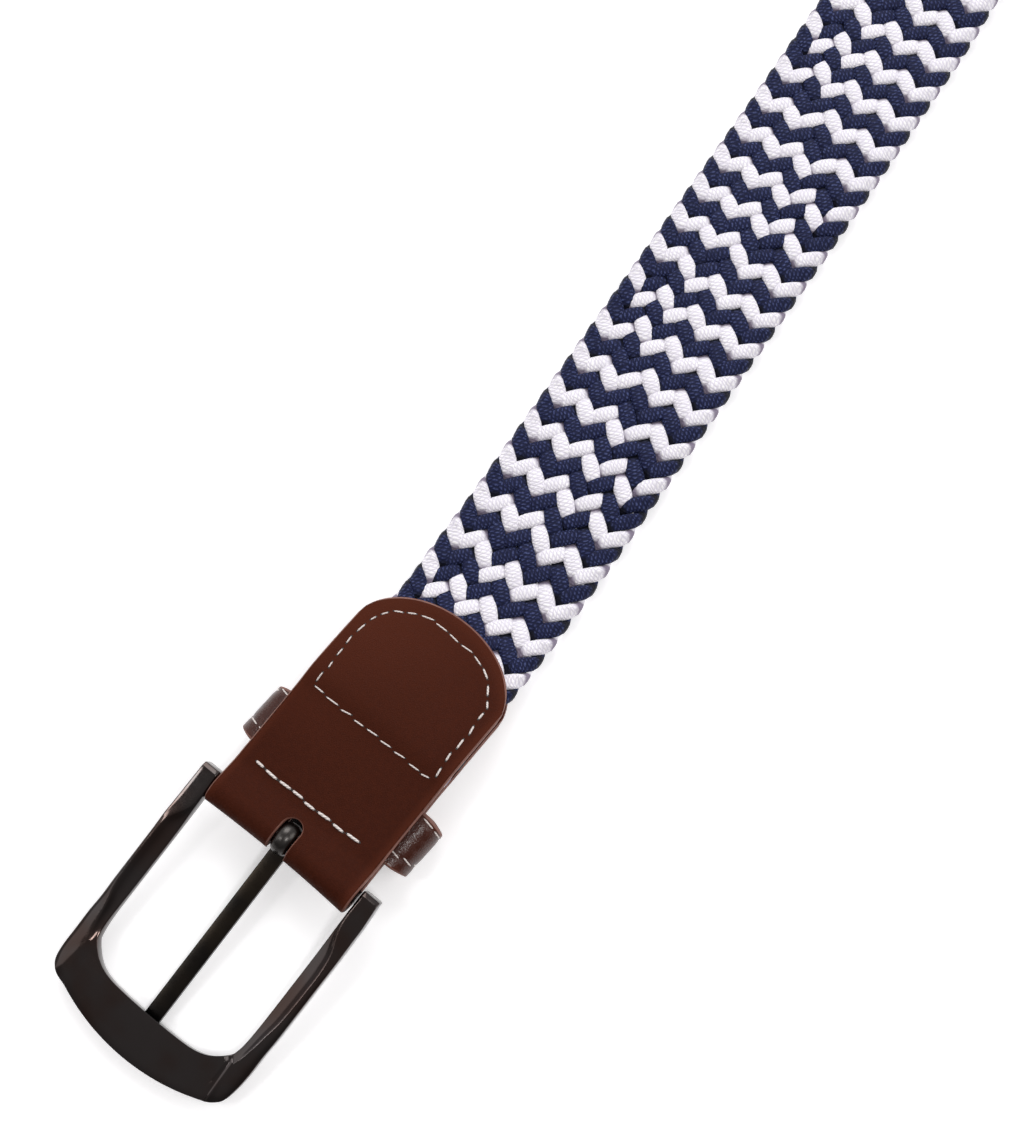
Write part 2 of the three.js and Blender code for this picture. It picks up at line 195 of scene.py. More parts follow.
TAB_SEAMS = {
    "front": Seam(0.64, (
        (12.7, 15.9, 12.6, 13.6), (12.5, 13.0, 12.4, 9.6), (12.5, 9.0, 12.7, 5.8),
        (12.7, 5.4, 12.8, 2.4), (12.4, 1.8, 12.5, -1.2), (12.6, -1.9, 12.9, -5.4),
        (12.7, -6.2, 12.7, -9.2), (13.0, -9.9, 13.2, -13.4),
    )),
    "cross": Seam(0.36, (
        (33.5, 16.5, 33.5, 13.8), (33.2, 13.0, 33.4, 9.4), (33.0, 8.6, 33.6, 5.8),
        (33.1, 4.8, 33.3, 2.1), (33.3, 1.3, 33.6, -1.7), (33.2, -2.6, 33.5, -5.6),
        (33.2, -6.6, 33.6, -9.5), (33.2, -10.8, 33.4, -13.7), (33.1, -14.3, 33.6, -16.4),
    )),
    "left_and_arch": Seam(0.36, (
        (34.5, 16.8, 36.9, 16.9), (38.5, 16.6, 40.1, 16.8), (41.8, 17.0, 43.8, 17.0),
        (45.2, 17.2, 47.2, 17.4), (48.8, 17.2, 51.2, 16.9), (52.7, 16.7, 54.1, 16.2),
        (55.2, 15.7, 56.6, 14.8), (57.6, 14.1, 58.7, 12.2), (59.2, 11.5, 60.3, 9.7),
        (60.7, 8.7, 61.7, 5.7), (61.4, 5.1, 61.5, 1.8), (61.4, 1.1, 61.1, -1.7),
        (61.1, -2.5, 61.3, -5.7), (61.0, -6.4, 60.2, -9.0),
    )),
    "right": Seam(0.48, (
        (60.0, -9.8, 58.7, -12.1), (57.7, -13.1, 55.7, -14.6), (54.8, -15.3, 53.4, -16.4),
        (52.2, -16.4, 50.3, -16.4), (48.6, -16.6, 46.4, -17.1), (44.9, -16.8, 42.3, -17.0),
        (40.8, -16.6, 38.7, -16.9), (36.9, -17.1, 34.7, -17.4),
    )),
}


def to_frame(point: Vector) -> Vector:
    """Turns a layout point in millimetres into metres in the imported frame."""
    return ORIGIN + point * MM


# Modelling by hand

SEAM_GAP = 1e-7
NODE_GAP = 1e-6
FLAT_ANGLE = math.radians(0.5)
BEVEL_STEPS = 3


def only(*pieces: Piece) -> None:
    """Selects these objects alone and makes the first one active."""
    if bpy.context.object and bpy.context.object.mode != "OBJECT":
        bpy.ops.object.mode_set(mode="OBJECT")
    bpy.ops.object.select_all(action="DESELECT")
    for piece in pieces:
        piece.select_set(True)
    bpy.context.view_layer.objects.active = pieces[0] if pieces else None


def in_edit(piece: Piece, work: Callable[[], None]) -> None:
    """Runs edit-mode work on one piece with everything selected."""
    only(piece)
    bpy.ops.object.mode_set(mode="EDIT")
    bpy.ops.mesh.select_mode(type="VERT")
    bpy.ops.mesh.select_all(action="SELECT")
    work()
    bpy.ops.object.mode_set(mode="OBJECT")


def skin(
    name: str,
    rows: Sequence[Sequence[Vector]],
    ring: bool = False,
    loop: bool = False,
    crowns: Sequence[float] = (),
) -> Piece:
    """Lays a grid through rows of points.

    Args:
        name: the piece's name.
        rows: rows of points in metres, all of one length.
        ring: whether each row closes on itself, as round a tube.
        loop: whether the last row meets the first.
        crowns: for each row, how far it lies on top of its neighbours, kept as an attribute.

    Returns:
        The piece, as an open sheet, a closed tube or a closed band.
    """
    rounds = [[*row, row[0]] if ring else list(row) for row in rows]
    if loop:
        rounds.append(rounds[0])
    only()
    across, along = len(rounds[0]) - 1, len(rounds) - 1
    bpy.ops.mesh.primitive_grid_add(x_subdivisions=across, y_subdivisions=along, size=1)
    piece = bpy.context.object
    piece.name = piece.data.name = name
    points = [value for row in rounds for point in row for value in point]
    piece.data.vertices.foreach_set("co", points)
    if crowns:
        mark = piece.data.attributes.new("crown", "FLOAT", "POINT")
        mark.data.foreach_set("value", [c for row, c in zip(rounds, crowns) for _ in row])
    if ring or loop:

        def close() -> None:
            bpy.ops.mesh.remove_doubles(threshold=SEAM_GAP)
            if ring and not loop:
                bpy.ops.mesh.select_all(action="DESELECT")
                bpy.ops.mesh.select_non_manifold()
                bpy.ops.mesh.fill_holes(sides=0)
            bpy.ops.mesh.select_all(action="SELECT")
            bpy.ops.mesh.normals_make_consistent(inside=False)

        in_edit(piece, close)
    return piece


def rewrite_uv(piece: Piece, change: Callable[[int, Vector], Pair]) -> None:
    """Rewrites the UV map from each corner's vertex number and old value."""
    for loop, data in zip(piece.data.loops, piece.data.uv_layers[0].data):
        data.uv = change(loop.vertex_index, data.uv)


def modify(piece: Piece, kind: str, **settings: Any) -> None:
    """Adds a modifier with these settings and applies it."""
    only(piece)
    modifier = piece.modifiers.new(kind.lower(), kind)
    for key, value in settings.items():
        setattr(modifier, key, value)
    bpy.ops.object.modifier_apply(modifier=modifier.name)


def bevel(piece: Piece, width: float, **limit: Any) -> None:
    """Rounds the edges that a limit picks, by a width in millimetres."""
    modify(piece, "BEVEL", width=width * MM, segments=BEVEL_STEPS, use_clamp_overlap=False, **limit)


def round_edges(piece: Piece, width: float, angle: float, material: int = -1) -> None:
    """Rounds a piece's edges past an angle in degrees, and gives them a material."""
    limit = math.radians(angle)
    bevel(piece, width, limit_method="ANGLE", angle_limit=limit, material=material)


def weigh_edges(piece: Piece, rows: Rows) -> None:
    """Weighs each edge for a bevel by the angle in degrees between its two faces."""
    mesh = piece.data
    sides: dict[tuple[int, int], list[Vector]] = {}
    for face in mesh.polygons:
        for key in face.edge_keys:
            sides.setdefault(key, []).append(face.normal.copy())
    weights = [0.0] * len(mesh.edges)
    for edge in mesh.edges:
        first, second = sides[edge.key]
        weights[edge.index] = ease(rows, math.degrees(first.angle(second)))
    mark = mesh.attributes.new("bevel_weight_edge", "FLOAT", "EDGE")
    mark.data.foreach_set("value", weights)


def paint(piece: Piece, materials: Materials, index: int = 0) -> None:
    """Gives a piece these materials, and each face the one with this index."""
    for material in materials:
        piece.data.materials.append(material)
    for face in piece.data.polygons:
        face.material_index = index


def thicken(piece: Piece, thickness: float, materials: Materials) -> None:
    """Turns a sheet into leather, in millimetres, whose rim has the second material."""
    paint(piece, materials)
    modify(
        piece,
        "SOLIDIFY",
        thickness=thickness * MM,
        offset=0.0,
        use_even_offset=True,
        material_offset_rim=1,
    )


def combine(piece: Piece, tool: Piece, operation: str) -> None:
    """Cuts a tool out of a piece, or joins it on, and removes the tool."""
    modify(piece, "BOOLEAN", object=tool, operation=operation, solver="EXACT")
    bpy.data.objects.remove(tool)


def join(name: str, pieces: Sequence[Piece]) -> Piece:
    """Joins pieces into the first one."""
    only(*pieces)
    bpy.ops.object.join()
    joined = bpy.context.object
    joined.name = joined.data.name = name
    return joined


def copy_of(piece: Piece, ahead: Vector, wide: Vector, up: Vector, spot: Vector) -> Piece:
    """Copies a piece with its own mesh, laid along three axes in millimetres at a spot."""
    place = Matrix((ahead, wide, up)).transposed() * MM
    place.resize_4x4()
    place.translation = spot
    twin = piece.copy()
    twin.data = piece.data.copy()
    twin.data.transform(place)
    bpy.context.scene.collection.objects.link(twin)
    return twin


def ball(segments: int, rings: int) -> Piece:
    """Models a ball one unit across."""
    only()
    bpy.ops.mesh.primitive_uv_sphere_add(segments=segments, ring_count=rings, radius=0.5)
    return bpy.context.object


def node_copy(name: str, node: str) -> Piece:
    """Copies a CAD node's mesh, merges it and clears its flat triangles."""
    piece = bpy.data.objects.new(name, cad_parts[node].data.copy())
    piece.data.name = name
    piece.data.materials.clear()
    bpy.context.scene.collection.objects.link(piece)

    def clean() -> None:
        bpy.ops.mesh.remove_doubles(threshold=NODE_GAP)
        bpy.ops.mesh.normals_make_consistent(inside=False)
        bpy.ops.mesh.dissolve_limited(angle_limit=FLAT_ANGLE)

    in_edit(piece, clean)
    return piece


def hand_over(
    piece: Piece,
    slot: Slot,
    materials: Materials,
    replaces: str = "",
    body: Body = Body.ROOT,
    smooth_deg: float = 80.0,
) -> Piece:
    """Finishes a piece.

    Args:
        piece: the piece.
        slot: its material slot; not used.
        materials: its own materials.
        replaces: the CAD node that it stands for, if any.
        body: the body that it rides on.
        smooth_deg: edges up to this angle are shaded smooth.

    Returns:
        The piece.
    """
    only(piece)
    bpy.ops.object.shade_smooth_by_angle(angle=math.radians(smooth_deg))
    while len(piece.data.materials) < len(materials):
        piece.data.materials.append(None)
    for index, material in enumerate(materials):
        piece.data.materials[index] = material
    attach(piece, body.value)
    if replaces:
        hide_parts(replaces)
    faces = len(piece.data.polygons)
    log.info("%s rides on %s with %d faces", piece.name, body.value, faces)
    return piece


def way_lengths(points: Sequence[Vector]) -> list[float]:
    """Gives the length of the way to each point of a chain."""
    lengths = [0.0]
    for first, second in zip(points, points[1:]):
        lengths.append(lengths[-1] + (second - first).length)
    return lengths


def find_on(lengths: Sequence[float], target: float) -> tuple[int, float]:
    """Finds which step of a chain holds a length, and the share of the step up to it."""
    step = min(max(bisect_left(lengths, target) - 1, 0), len(lengths) - 2)
    return step, (target - lengths[step]) / max(1e-9, lengths[step + 1] - lengths[step])


# Finishes


class Nodes:
    """A small bench for wiring shader nodes in a material or a group."""

    def __init__(self, tree: bpy.types.NodeTree) -> None:
        """Takes the tree to work in."""
        self.tree = tree

    def add(self, kind: str, **settings: Any) -> bpy.types.Node:
        """Adds a node and sets its properties."""
        node = self.tree.nodes.new("ShaderNode" + kind)
        for key, value in settings.items():
            setattr(node, key, value)
        return node

    def feed(self, socket: Socket, value: Any) -> None:
        """Links an output to a socket, or sets the socket's value."""
        if isinstance(value, Socket):
            self.tree.links.new(value, socket)
        else:
            socket.default_value = value

    def feed_all(self, node: bpy.types.Node, values: dict[Any, Any]) -> bpy.types.Node:
        """Feeds a node's inputs, given by name or number."""
        for key, value in values.items():
            self.feed(node.inputs[key], value)
        return node

    def math(self, operation: str, *values: Any, clamp: bool = False) -> Socket:
        """Adds a math node."""
        node = self.add("Math", operation=operation, use_clamp=clamp)
        return self.feed_all(node, dict(enumerate(values))).outputs[0]

    def weigh(self, *parts: tuple[Any, float], clamp: bool = False) -> Socket:
        """Adds up values, each given with its weight."""
        total = self.math("MULTIPLY", *parts[0])
        for part in parts[1:]:
            last = part is parts[-1]
            total = self.math("MULTIPLY_ADD", *part, total, clamp=clamp and last)
        return total

    def smooth(self, value: Any, low: Any, high: Any) -> Socket:
        """Maps a value smoothly from low..high to 0..1."""
        node = self.add("MapRange", interpolation_type="SMOOTHSTEP")
        return self.feed_all(node, {0: value, 1: low, 2: high, 3: 0.0, 4: 1.0}).outputs[0]

    def blend(self, share: Any, first: Any, second: Any) -> Socket:
        """Mixes two colours by a share."""
        node = self.add("Mix", data_type="RGBA")
        return self.feed_all(node, {0: share, 6: first, 7: second}).outputs[2]

    def noise(self, vector: Any, scale: Any, detail: float = 2.0) -> Socket:
        """Adds a noise texture and gives its value."""
        values = {"Vector": vector, "Scale": scale, "Detail": detail}
        return self.feed_all(self.add("TexNoise"), values).outputs[0]

    def place(self) -> Socket:
        """Gives the object's own coordinates."""
        return self.add("TexCoord").outputs["Object"]

    def parts(self, vector: Any) -> Sockets:
        """Splits a vector into its parts."""
        return self.feed_all(self.add("SeparateXYZ"), {0: vector}).outputs

    def uv(self) -> Sockets:
        """Gives the parts of the piece's UV map."""
        return self.parts(self.add("TexCoord").outputs["UV"])

    def group(self, tree: bpy.types.ShaderNodeTree, **values: Any) -> Sockets:
        """Places a group with its own values and gives its outputs."""
        return self.feed_all(self.add("Group", node_tree=tree), values).outputs


def make_group(
    name: str,
    inputs: dict[str, float],
    outputs: Sequence[str],
    wire: Callable[[Nodes, dict[str, Any]], Sequence[Any]],
) -> bpy.types.ShaderNodeTree:
    """Builds a shader node group with named float sockets.

    Args:
        name: the group's name.
        inputs: the inputs and their starting values; Vector is a vector.
        outputs: the outputs' names.
        wire: makes the nodes from the inputs and gives the outputs' sources.

    Returns:
        The group's node tree.
    """
    tree = bpy.data.node_groups.new(name, "ShaderNodeTree")
    for key, value in inputs.items():
        kind = "NodeSocketVector" if key == "Vector" else "NodeSocketFloat"
        socket = tree.interface.new_socket(key, in_out="INPUT", socket_type=kind)
        if key != "Vector":
            socket.default_value = value
    for key in outputs:
        tree.interface.new_socket(key, in_out="OUTPUT", socket_type="NodeSocketFloat")
    nodes = Nodes(tree)
    entry = tree.nodes.new("NodeGroupInput")
    leave = tree.nodes.new("NodeGroupOutput")
    given = {key: entry.outputs[key] for key in inputs}
    nodes.feed_all(leave, dict(zip(outputs, wire(nodes, given))))
    return tree


class SharedEffects:
    """Effects that more than one finish uses."""

    rib_power: float = 0.9
    pebble_edge: float = 0.35
    fine_ratio: float = 1.7
    grain_shares: Pair = (0.6, 0.7)
    pore_range: Pair = (0.56, 0.7)

    def __init__(self) -> None:
        """Builds each group once."""
        plait = {"Round": 0.0, "Length": 0.0, "Strands": 4.0}
        self.plait = make_group("cord_plait", plait, ["Height"], self.wire_plait)
        mottle = {"Vector": 0.0, "Scale": 100.0, "Low": 0.35, "High": 0.65}
        self.mottle = make_group("mottle", mottle, ["Mask"], self.wire_mottle)
        grain = {"Vector": 0.0, "Scale": 1500.0}
        self.grain = make_group("leather_grain", grain, ["Height", "Pores"], self.wire_grain)

    def wire_plait(self, nodes: Nodes, given: dict[str, Any]) -> Sequence[Any]:
        """Crosses two spiral ribs round a cord, as in a fine plait."""
        around = nodes.math("MULTIPLY", given["Round"], given["Strands"])
        ribs = []
        for lean in (math.pi, -math.pi):
            turn = nodes.weigh((around, math.pi), (given["Length"], lean))
            ribs.append(nodes.math("ABSOLUTE", nodes.math("SINE", turn)))
        return [nodes.math("POWER", nodes.math("MULTIPLY", *ribs), self.rib_power)]

    @staticmethod
    def wire_mottle(nodes: Nodes, given: dict[str, Any]) -> Sequence[Any]:
        """Makes soft patches from noise."""
        noise = nodes.noise(given["Vector"], given["Scale"])
        return [nodes.smooth(noise, given["Low"], given["High"])]

    def wire_grain(self, nodes: Nodes, given: dict[str, Any]) -> Sequence[Any]:
        """Makes the fine pebbled grain of smooth leather and the pores in it."""
        cells = nodes.add("TexVoronoi", feature="DISTANCE_TO_EDGE")
        nodes.feed_all(cells, given)
        pebble = nodes.smooth(cells.outputs["Distance"], 0.0, self.pebble_edge)
        scale = nodes.math("MULTIPLY", given["Scale"], self.fine_ratio)
        fine = nodes.noise(given["Vector"], scale)
        height = nodes.weigh(*zip((pebble, fine), self.grain_shares))
        return [height, nodes.smooth(fine, *self.pore_range)]


class Coat:
    """A node material on the bench, with its shader and its object coordinates."""

    def __init__(self, name: str, **constants: float) -> None:
        """Makes the material and sets constants on its shader.

        Args:
            name: the material's name.
            constants: values for the shader's inputs, with _ for a blank in a name.
        """
        self.material = bpy.data.materials.new(name)
        self.material.use_nodes = True
        tree = self.material.node_tree
        self.nodes = Nodes(tree)
        self.shader = next(n for n in tree.nodes if n.type == "BSDF_PRINCIPLED")
        self.place = self.nodes.place()
        for key, value in constants.items():
            self.shader.inputs[key.replace("_", " ")].default_value = value

    def patches(self, shared: SharedEffects, scale: float, low: float, high: float) -> Any:
        """Gives soft patches of one scale, cut from the noise between low and high."""
        values = {"Vector": self.place, "Scale": scale, "Low": low, "High": high}
        return self.nodes.group(shared.mottle, **values)[0]

    def wire(self, key: str, value: Any) -> None:
        """Feeds one of the shader's inputs."""
        self.nodes.feed(self.shader.inputs[key], value)

    def bump(self, height: Any, depth: float) -> None:
        """Feeds a height to the shader's normal; the depth is in millimetres."""
        node = self.nodes.add("Bump")
        values = {"Strength": 1.0, "Distance": depth * MM, "Height": height}
        self.wire("Normal", self.nodes.feed_all(node, values).outputs[0])


@dataclass(frozen=True)
class LeatherFinish:
    """Smooth dark reddish brown leather."""

    shared: SharedEffects
    dark: Color = (0.033, 0.0064, 0.0025, 1)
    light: Color = (0.046, 0.0094, 0.0038, 1)
    # The lighter colour that the UV map's first part blends in: a painted highlight along the edges
    # and painted light over the round end's left part.
    painted_light: Color = (0.066, 0.0145, 0.0062, 1)
    gloss: float = 0.05
    roughness: float = 0.5
    grain_scale: float = 2300.0
    grain_depth: float = 0.06
    patches: Triple = (55.0, 0.3, 0.7)
    specks: Triple = (900.0, 0.4, 0.62)
    speck_roughness: float = 0.1
    patch_share: float = 0.3
    fine_share: float = 0.35
    grain_share: float = 0.4
    pore_share: float = -0.45

    def build(self, name: str) -> Material:
        """Builds the material; the UV map's first part is how much painted light a place gets."""
        coat = Coat(name, Specular_IOR_Level=self.gloss)
        nodes = coat.nodes
        patches = coat.patches(self.shared, *self.patches)
        fine = coat.patches(self.shared, *self.specks)
        grain, pores = nodes.group(self.shared.grain, Vector=coat.place, Scale=self.grain_scale)
        share = nodes.weigh(
            (patches, self.patch_share),
            (fine, self.fine_share),
            (grain, self.grain_share),
            (pores, self.pore_share),
            clamp=True,
        )
        base = nodes.blend(share, self.dark, self.light)
        # Painted light: blends in the lighter colour by the UV map's first part.
        coat.wire("Base Color", nodes.blend(nodes.uv()[0], base, self.painted_light))
        rough = nodes.math("MULTIPLY_ADD", fine, self.speck_roughness, self.roughness)
        coat.wire("Roughness", rough)
        coat.bump(grain, self.grain_depth)
        return coat.material


@dataclass(frozen=True)
class CutEdgeFinish:
    """Burnished cut edge of the leather, paler than its face."""

    shared: SharedEffects
    dark: Color = (0.10, 0.030, 0.018, 1)
    light: Color = (0.20, 0.085, 0.060, 1)
    roughness: float = 0.55
    fibre_scale: float = 1800.0
    patches: Triple = (220.0, 0.3, 0.7)
    fibre_share: float = 0.6
    patch_share: float = 0.4
    fibre_depth: float = 0.08

    def build(self, name: str) -> Material:
        """Builds the material."""
        coat = Coat(name, Roughness=self.roughness)
        nodes = coat.nodes
        fibre = nodes.noise(coat.place, self.fibre_scale, detail=4.0)
        patches = coat.patches(self.shared, *self.patches)
        share = nodes.weigh((fibre, self.fibre_share), (patches, self.patch_share))
        coat.wire("Base Color", nodes.blend(share, self.dark, self.light))
        coat.bump(fibre, self.fibre_depth)
        return coat.material


@dataclass(frozen=True)
class GunmetalFinish:
    """Polished dark plating with faint polishing marks, and warm patches that are partly uneven
    tone and partly painted brownish reflections.
    """

    shared: SharedEffects
    color: Color = (0.054, 0.048, 0.047, 1)
    warm_tone_and_reflection: Color = (0.050, 0.035, 0.031, 1)
    roughness: float = 0.13
    haze: float = 0.1
    patches: Triple = (90.0, 0.35, 0.7)
    mark_scale: float = 700.0
    ripple_scale: float = 260.0
    ripple_depth: float = 0.012

    def build(self, name: str) -> Material:
        """Builds the material."""
        coat = Coat(name, Metallic=1.0)
        nodes, place = coat.nodes, coat.place
        patches = coat.patches(self.shared, *self.patches)
        # Warm patches: partly the plating's uneven tone, partly painted brownish reflections.
        coat.wire("Base Color", nodes.blend(patches, self.color, self.warm_tone_and_reflection))
        marks = nodes.noise(place, self.mark_scale, detail=5.0)
        polish = self.roughness - self.haze / 2
        coat.wire("Roughness", nodes.math("MULTIPLY_ADD", marks, self.haze, polish))
        coat.bump(nodes.noise(place, self.ripple_scale), self.ripple_depth)
        return coat.material


@dataclass(frozen=True)
class CordFinish:
    """Soft braided cord; its plait follows the cord's own UV map, in millimetres along it. Its
    grooves are painted in shade, its crests carry painted glints, and it is painted darker where it
    dives under its neighbours.
    """

    shared: SharedEffects
    # The groove colour is painted shade in the plait's grooves; the crest colour and the glint
    # strength give painted glints on its crests.
    groove_shade: Color
    body: Color
    crest: Color
    # The depth colour is painted shade where a cord dives under its neighbours.
    depth: Color
    glint_strength: float
    roughness: float = 0.55
    gloss: float = 0.14
    sheen: Pair = (0.025, 0.5)
    stitch_length: float = 0.84
    plait_depth: float = 0.11
    strands: float = 6.0
    groove_range: Pair = (0.0, 0.55)
    sway_scale: float = 520.0
    unevenness: float = 0.55
    fuzz_scale: float = 2200.0
    fuzz_share: float = 0.35
    glint_shares: Pair = (0.45, 0.85)
    glint_range: Pair = (0.66, 0.95)
    shade_scale: float = 400.0
    shade_range: Pair = (0.4, 0.62)
    shade_share: float = 0.3
    dive_shade_range: Pair = (0.3, 0.78)

    def build(self, name: str) -> Material:
        """Builds the material."""
        coat = Coat(
            name,
            Roughness=self.roughness,
            Specular_IOR_Level=self.gloss,
            Sheen_Weight=self.sheen[0],
            Sheen_Roughness=self.sheen[1],
        )
        nodes, place = coat.nodes, coat.place
        around, along, _ = nodes.uv()
        sway = nodes.math("SUBTRACT", nodes.noise(place, self.sway_scale), 0.5)
        length = nodes.weigh((along, 1 / self.stitch_length), (sway, self.unevenness * 2))
        around = nodes.weigh((around, 1.0), (sway, self.unevenness / 4))
        plait = self.shared.plait
        height = nodes.group(plait, Round=around, Length=length, Strands=self.strands)[0]
        fuzz = nodes.noise(place, self.fuzz_scale, detail=4.0)
        # Painted shade: the plait's grooves are darkened towards the groove colour.
        rise = nodes.smooth(height, *self.groove_range)
        base = nodes.blend(rise, self.groove_shade, self.body)
        # Painted glints: bright specks of the crest colour on the plait's crests.
        spot = nodes.weigh(*zip((height, fuzz), self.glint_shares))
        glint = nodes.math("MULTIPLY", nodes.smooth(spot, *self.glint_range), self.glint_strength)
        base = nodes.blend(glint, base, self.crest)
        shade = nodes.smooth(nodes.noise(place, self.shade_scale), *self.shade_range)
        base = nodes.blend(nodes.math("MULTIPLY", shade, self.shade_share), base, self.groove_shade)
        # Painted shade: the cord is darkened towards the depth colour where its crown is low, as it
        # dives under its neighbours.
        crown = nodes.add("Attribute", attribute_name="crown").outputs["Fac"]
        dive = nodes.smooth(crown, *self.dive_shade_range)
        coat.wire("Base Color", nodes.blend(dive, self.depth, base))
        relief = nodes.weigh((height, 1.0), (fuzz, self.fuzz_share))
        coat.bump(relief, self.plait_depth)
        return coat.material


@dataclass(frozen=True)
class ThreadFinish:
    """Waxed off-white thread with a visible twist, whose valleys are painted in shade."""

    twist_shade: Color = (0.36, 0.30, 0.27, 1)
    crest: Color = (0.84, 0.79, 0.76, 1)
    roughness: float = 0.6
    turns_around: float = 2.0
    turns_along: float = 5.0
    twist_depth: float = 0.08
    twist_share: float = 0.6
    fibre_scale: float = 3500.0
    fibre_share: float = 0.5

    def build(self, name: str) -> Material:
        """Builds the material."""
        coat = Coat(name, Roughness=self.roughness)
        nodes = coat.nodes
        around, along, _ = nodes.uv()
        around = (around, self.turns_around * math.tau)
        turn = nodes.weigh(around, (along, self.turns_along * math.tau))
        twist = nodes.math("MULTIPLY_ADD", nodes.math("SINE", turn), 0.5, 0.5)
        fibre = nodes.noise(coat.place, self.fibre_scale, detail=3.0)
        # Painted shade: the twist's valleys are darkened towards the valley colour.
        share = nodes.weigh((twist, self.twist_share), (fibre, self.fibre_share), clamp=True)
        coat.wire("Base Color", nodes.blend(share, self.twist_shade, self.crest))
        coat.bump(twist, self.twist_depth)
        return coat.material


@dataclass(frozen=True)
class FloorFinish:
    """Plain pale floor, with a painted deep shadow under the slot, between the tab and the floor,
    where it also does not glow.
    """

    color: Color = (0.93, 0.93, 0.935, 1)
    # The colour of the painted shadow under the slot.
    shade: Color = (0.03, 0.028, 0.028, 1)
    painted_shadow_spot: Pair = (7.5, 2.3)
    painted_shadow_reach: float = 5.0
    painted_shadow_edge: Pair = (0.4, 1.0)
    roughness: float = 0.8
    gloss: float = 0.1
    glow: float = 0.3

    def build(self, name: str) -> Material:
        """Builds the material."""
        shine = {"Roughness": self.roughness, "Specular_IOR_Level": self.gloss}
        coat = Coat(name, Emission_Strength=self.glow, **shine)
        nodes = coat.nodes
        # Painted shadow: within an oval under the slot the floor is painted dark and does not glow.
        middle = to_frame(Vector((*self.painted_shadow_spot, 0)))
        squares = []
        for part, value in zip(nodes.parts(coat.place), middle[:2]):
            offset = nodes.math("SUBTRACT", part, value)
            offset = nodes.math("DIVIDE", offset, self.painted_shadow_reach * MM)
            squares.append(nodes.math("MULTIPLY", offset, offset))
        clear = nodes.smooth(nodes.math("ADD", *squares), *self.painted_shadow_edge)
        coat.wire("Base Color", nodes.blend(clear, self.shade, self.color))
        coat.wire("Emission Color", nodes.blend(clear, (0, 0, 0, 1), (1, 1, 1, 1)))
        return coat.material


class Finishes:
    """All of the belt's materials."""

    def __init__(self) -> None:
        """Builds each material once."""
        shared = SharedEffects()
        self.leather = LeatherFinish(shared).build("leather_face")
        self.keeper = LeatherFinish(
            shared, gloss=0.38, roughness=0.18, grain_scale=1900.0, grain_depth=0.045
        ).build("keeper_leather")
        self.cut_edge = CutEdgeFinish(shared).build("leather_cut_edge")
        self.gunmetal = GunmetalFinish(shared).build("gunmetal_polish")
        # The prong's strip and its curl are one piece of the same plating: the strip's copy is
        # painted darker, as painted shade, and the curl's copy is painted lighter, as a painted
        # highlight.
        self.prong = GunmetalFinish(
            shared, color=(0.013, 0.012, 0.0115, 1), warm_tone_and_reflection=(0.026, 0.021, 0.016, 1), roughness=0.24
        ).build("prong_polish")
        self.curl = GunmetalFinish(
            shared, color=(0.060, 0.056, 0.053, 1), warm_tone_and_reflection=(0.030, 0.026, 0.023, 1), roughness=0.3
        ).build("curl_painted_highlight")
        # The cords' groove colours are painted shade, their crest colours painted glints, and their
        # depth colours painted shade where a cord dives.
        self.navy = CordFinish(
            shared,
            groove_shade=(0.0042, 0.0062, 0.026, 1),
            body=(0.0080, 0.0115, 0.053, 1),
            crest=(0.085, 0.11, 0.25, 1),
            depth=(0.0014, 0.0020, 0.008, 1),
            glint_strength=0.6,
        ).build("navy_cord_weave")
        self.white = CordFinish(
            shared,
            groove_shade=(0.66, 0.63, 0.71, 1),
            body=(0.81, 0.79, 0.84, 1),
            crest=(0.94, 0.93, 0.91, 1),
            depth=(0.20, 0.17, 0.23, 1),
            glint_strength=0.8,
        ).build("white_cord_weave")
        self.thread = ThreadFinish().build("waxed_thread")
        # Near-black dots at the stitch ends: painted shade inside the needle holes.
        self.hole_shade = CutEdgeFinish(
            shared, dark=(0.006, 0.003, 0.002, 1), light=(0.014, 0.006, 0.004, 1)
        ).build("needle_hole_painted_shade")
        self.tab = (self.leather, self.cut_edge)


# Sub-assemblies


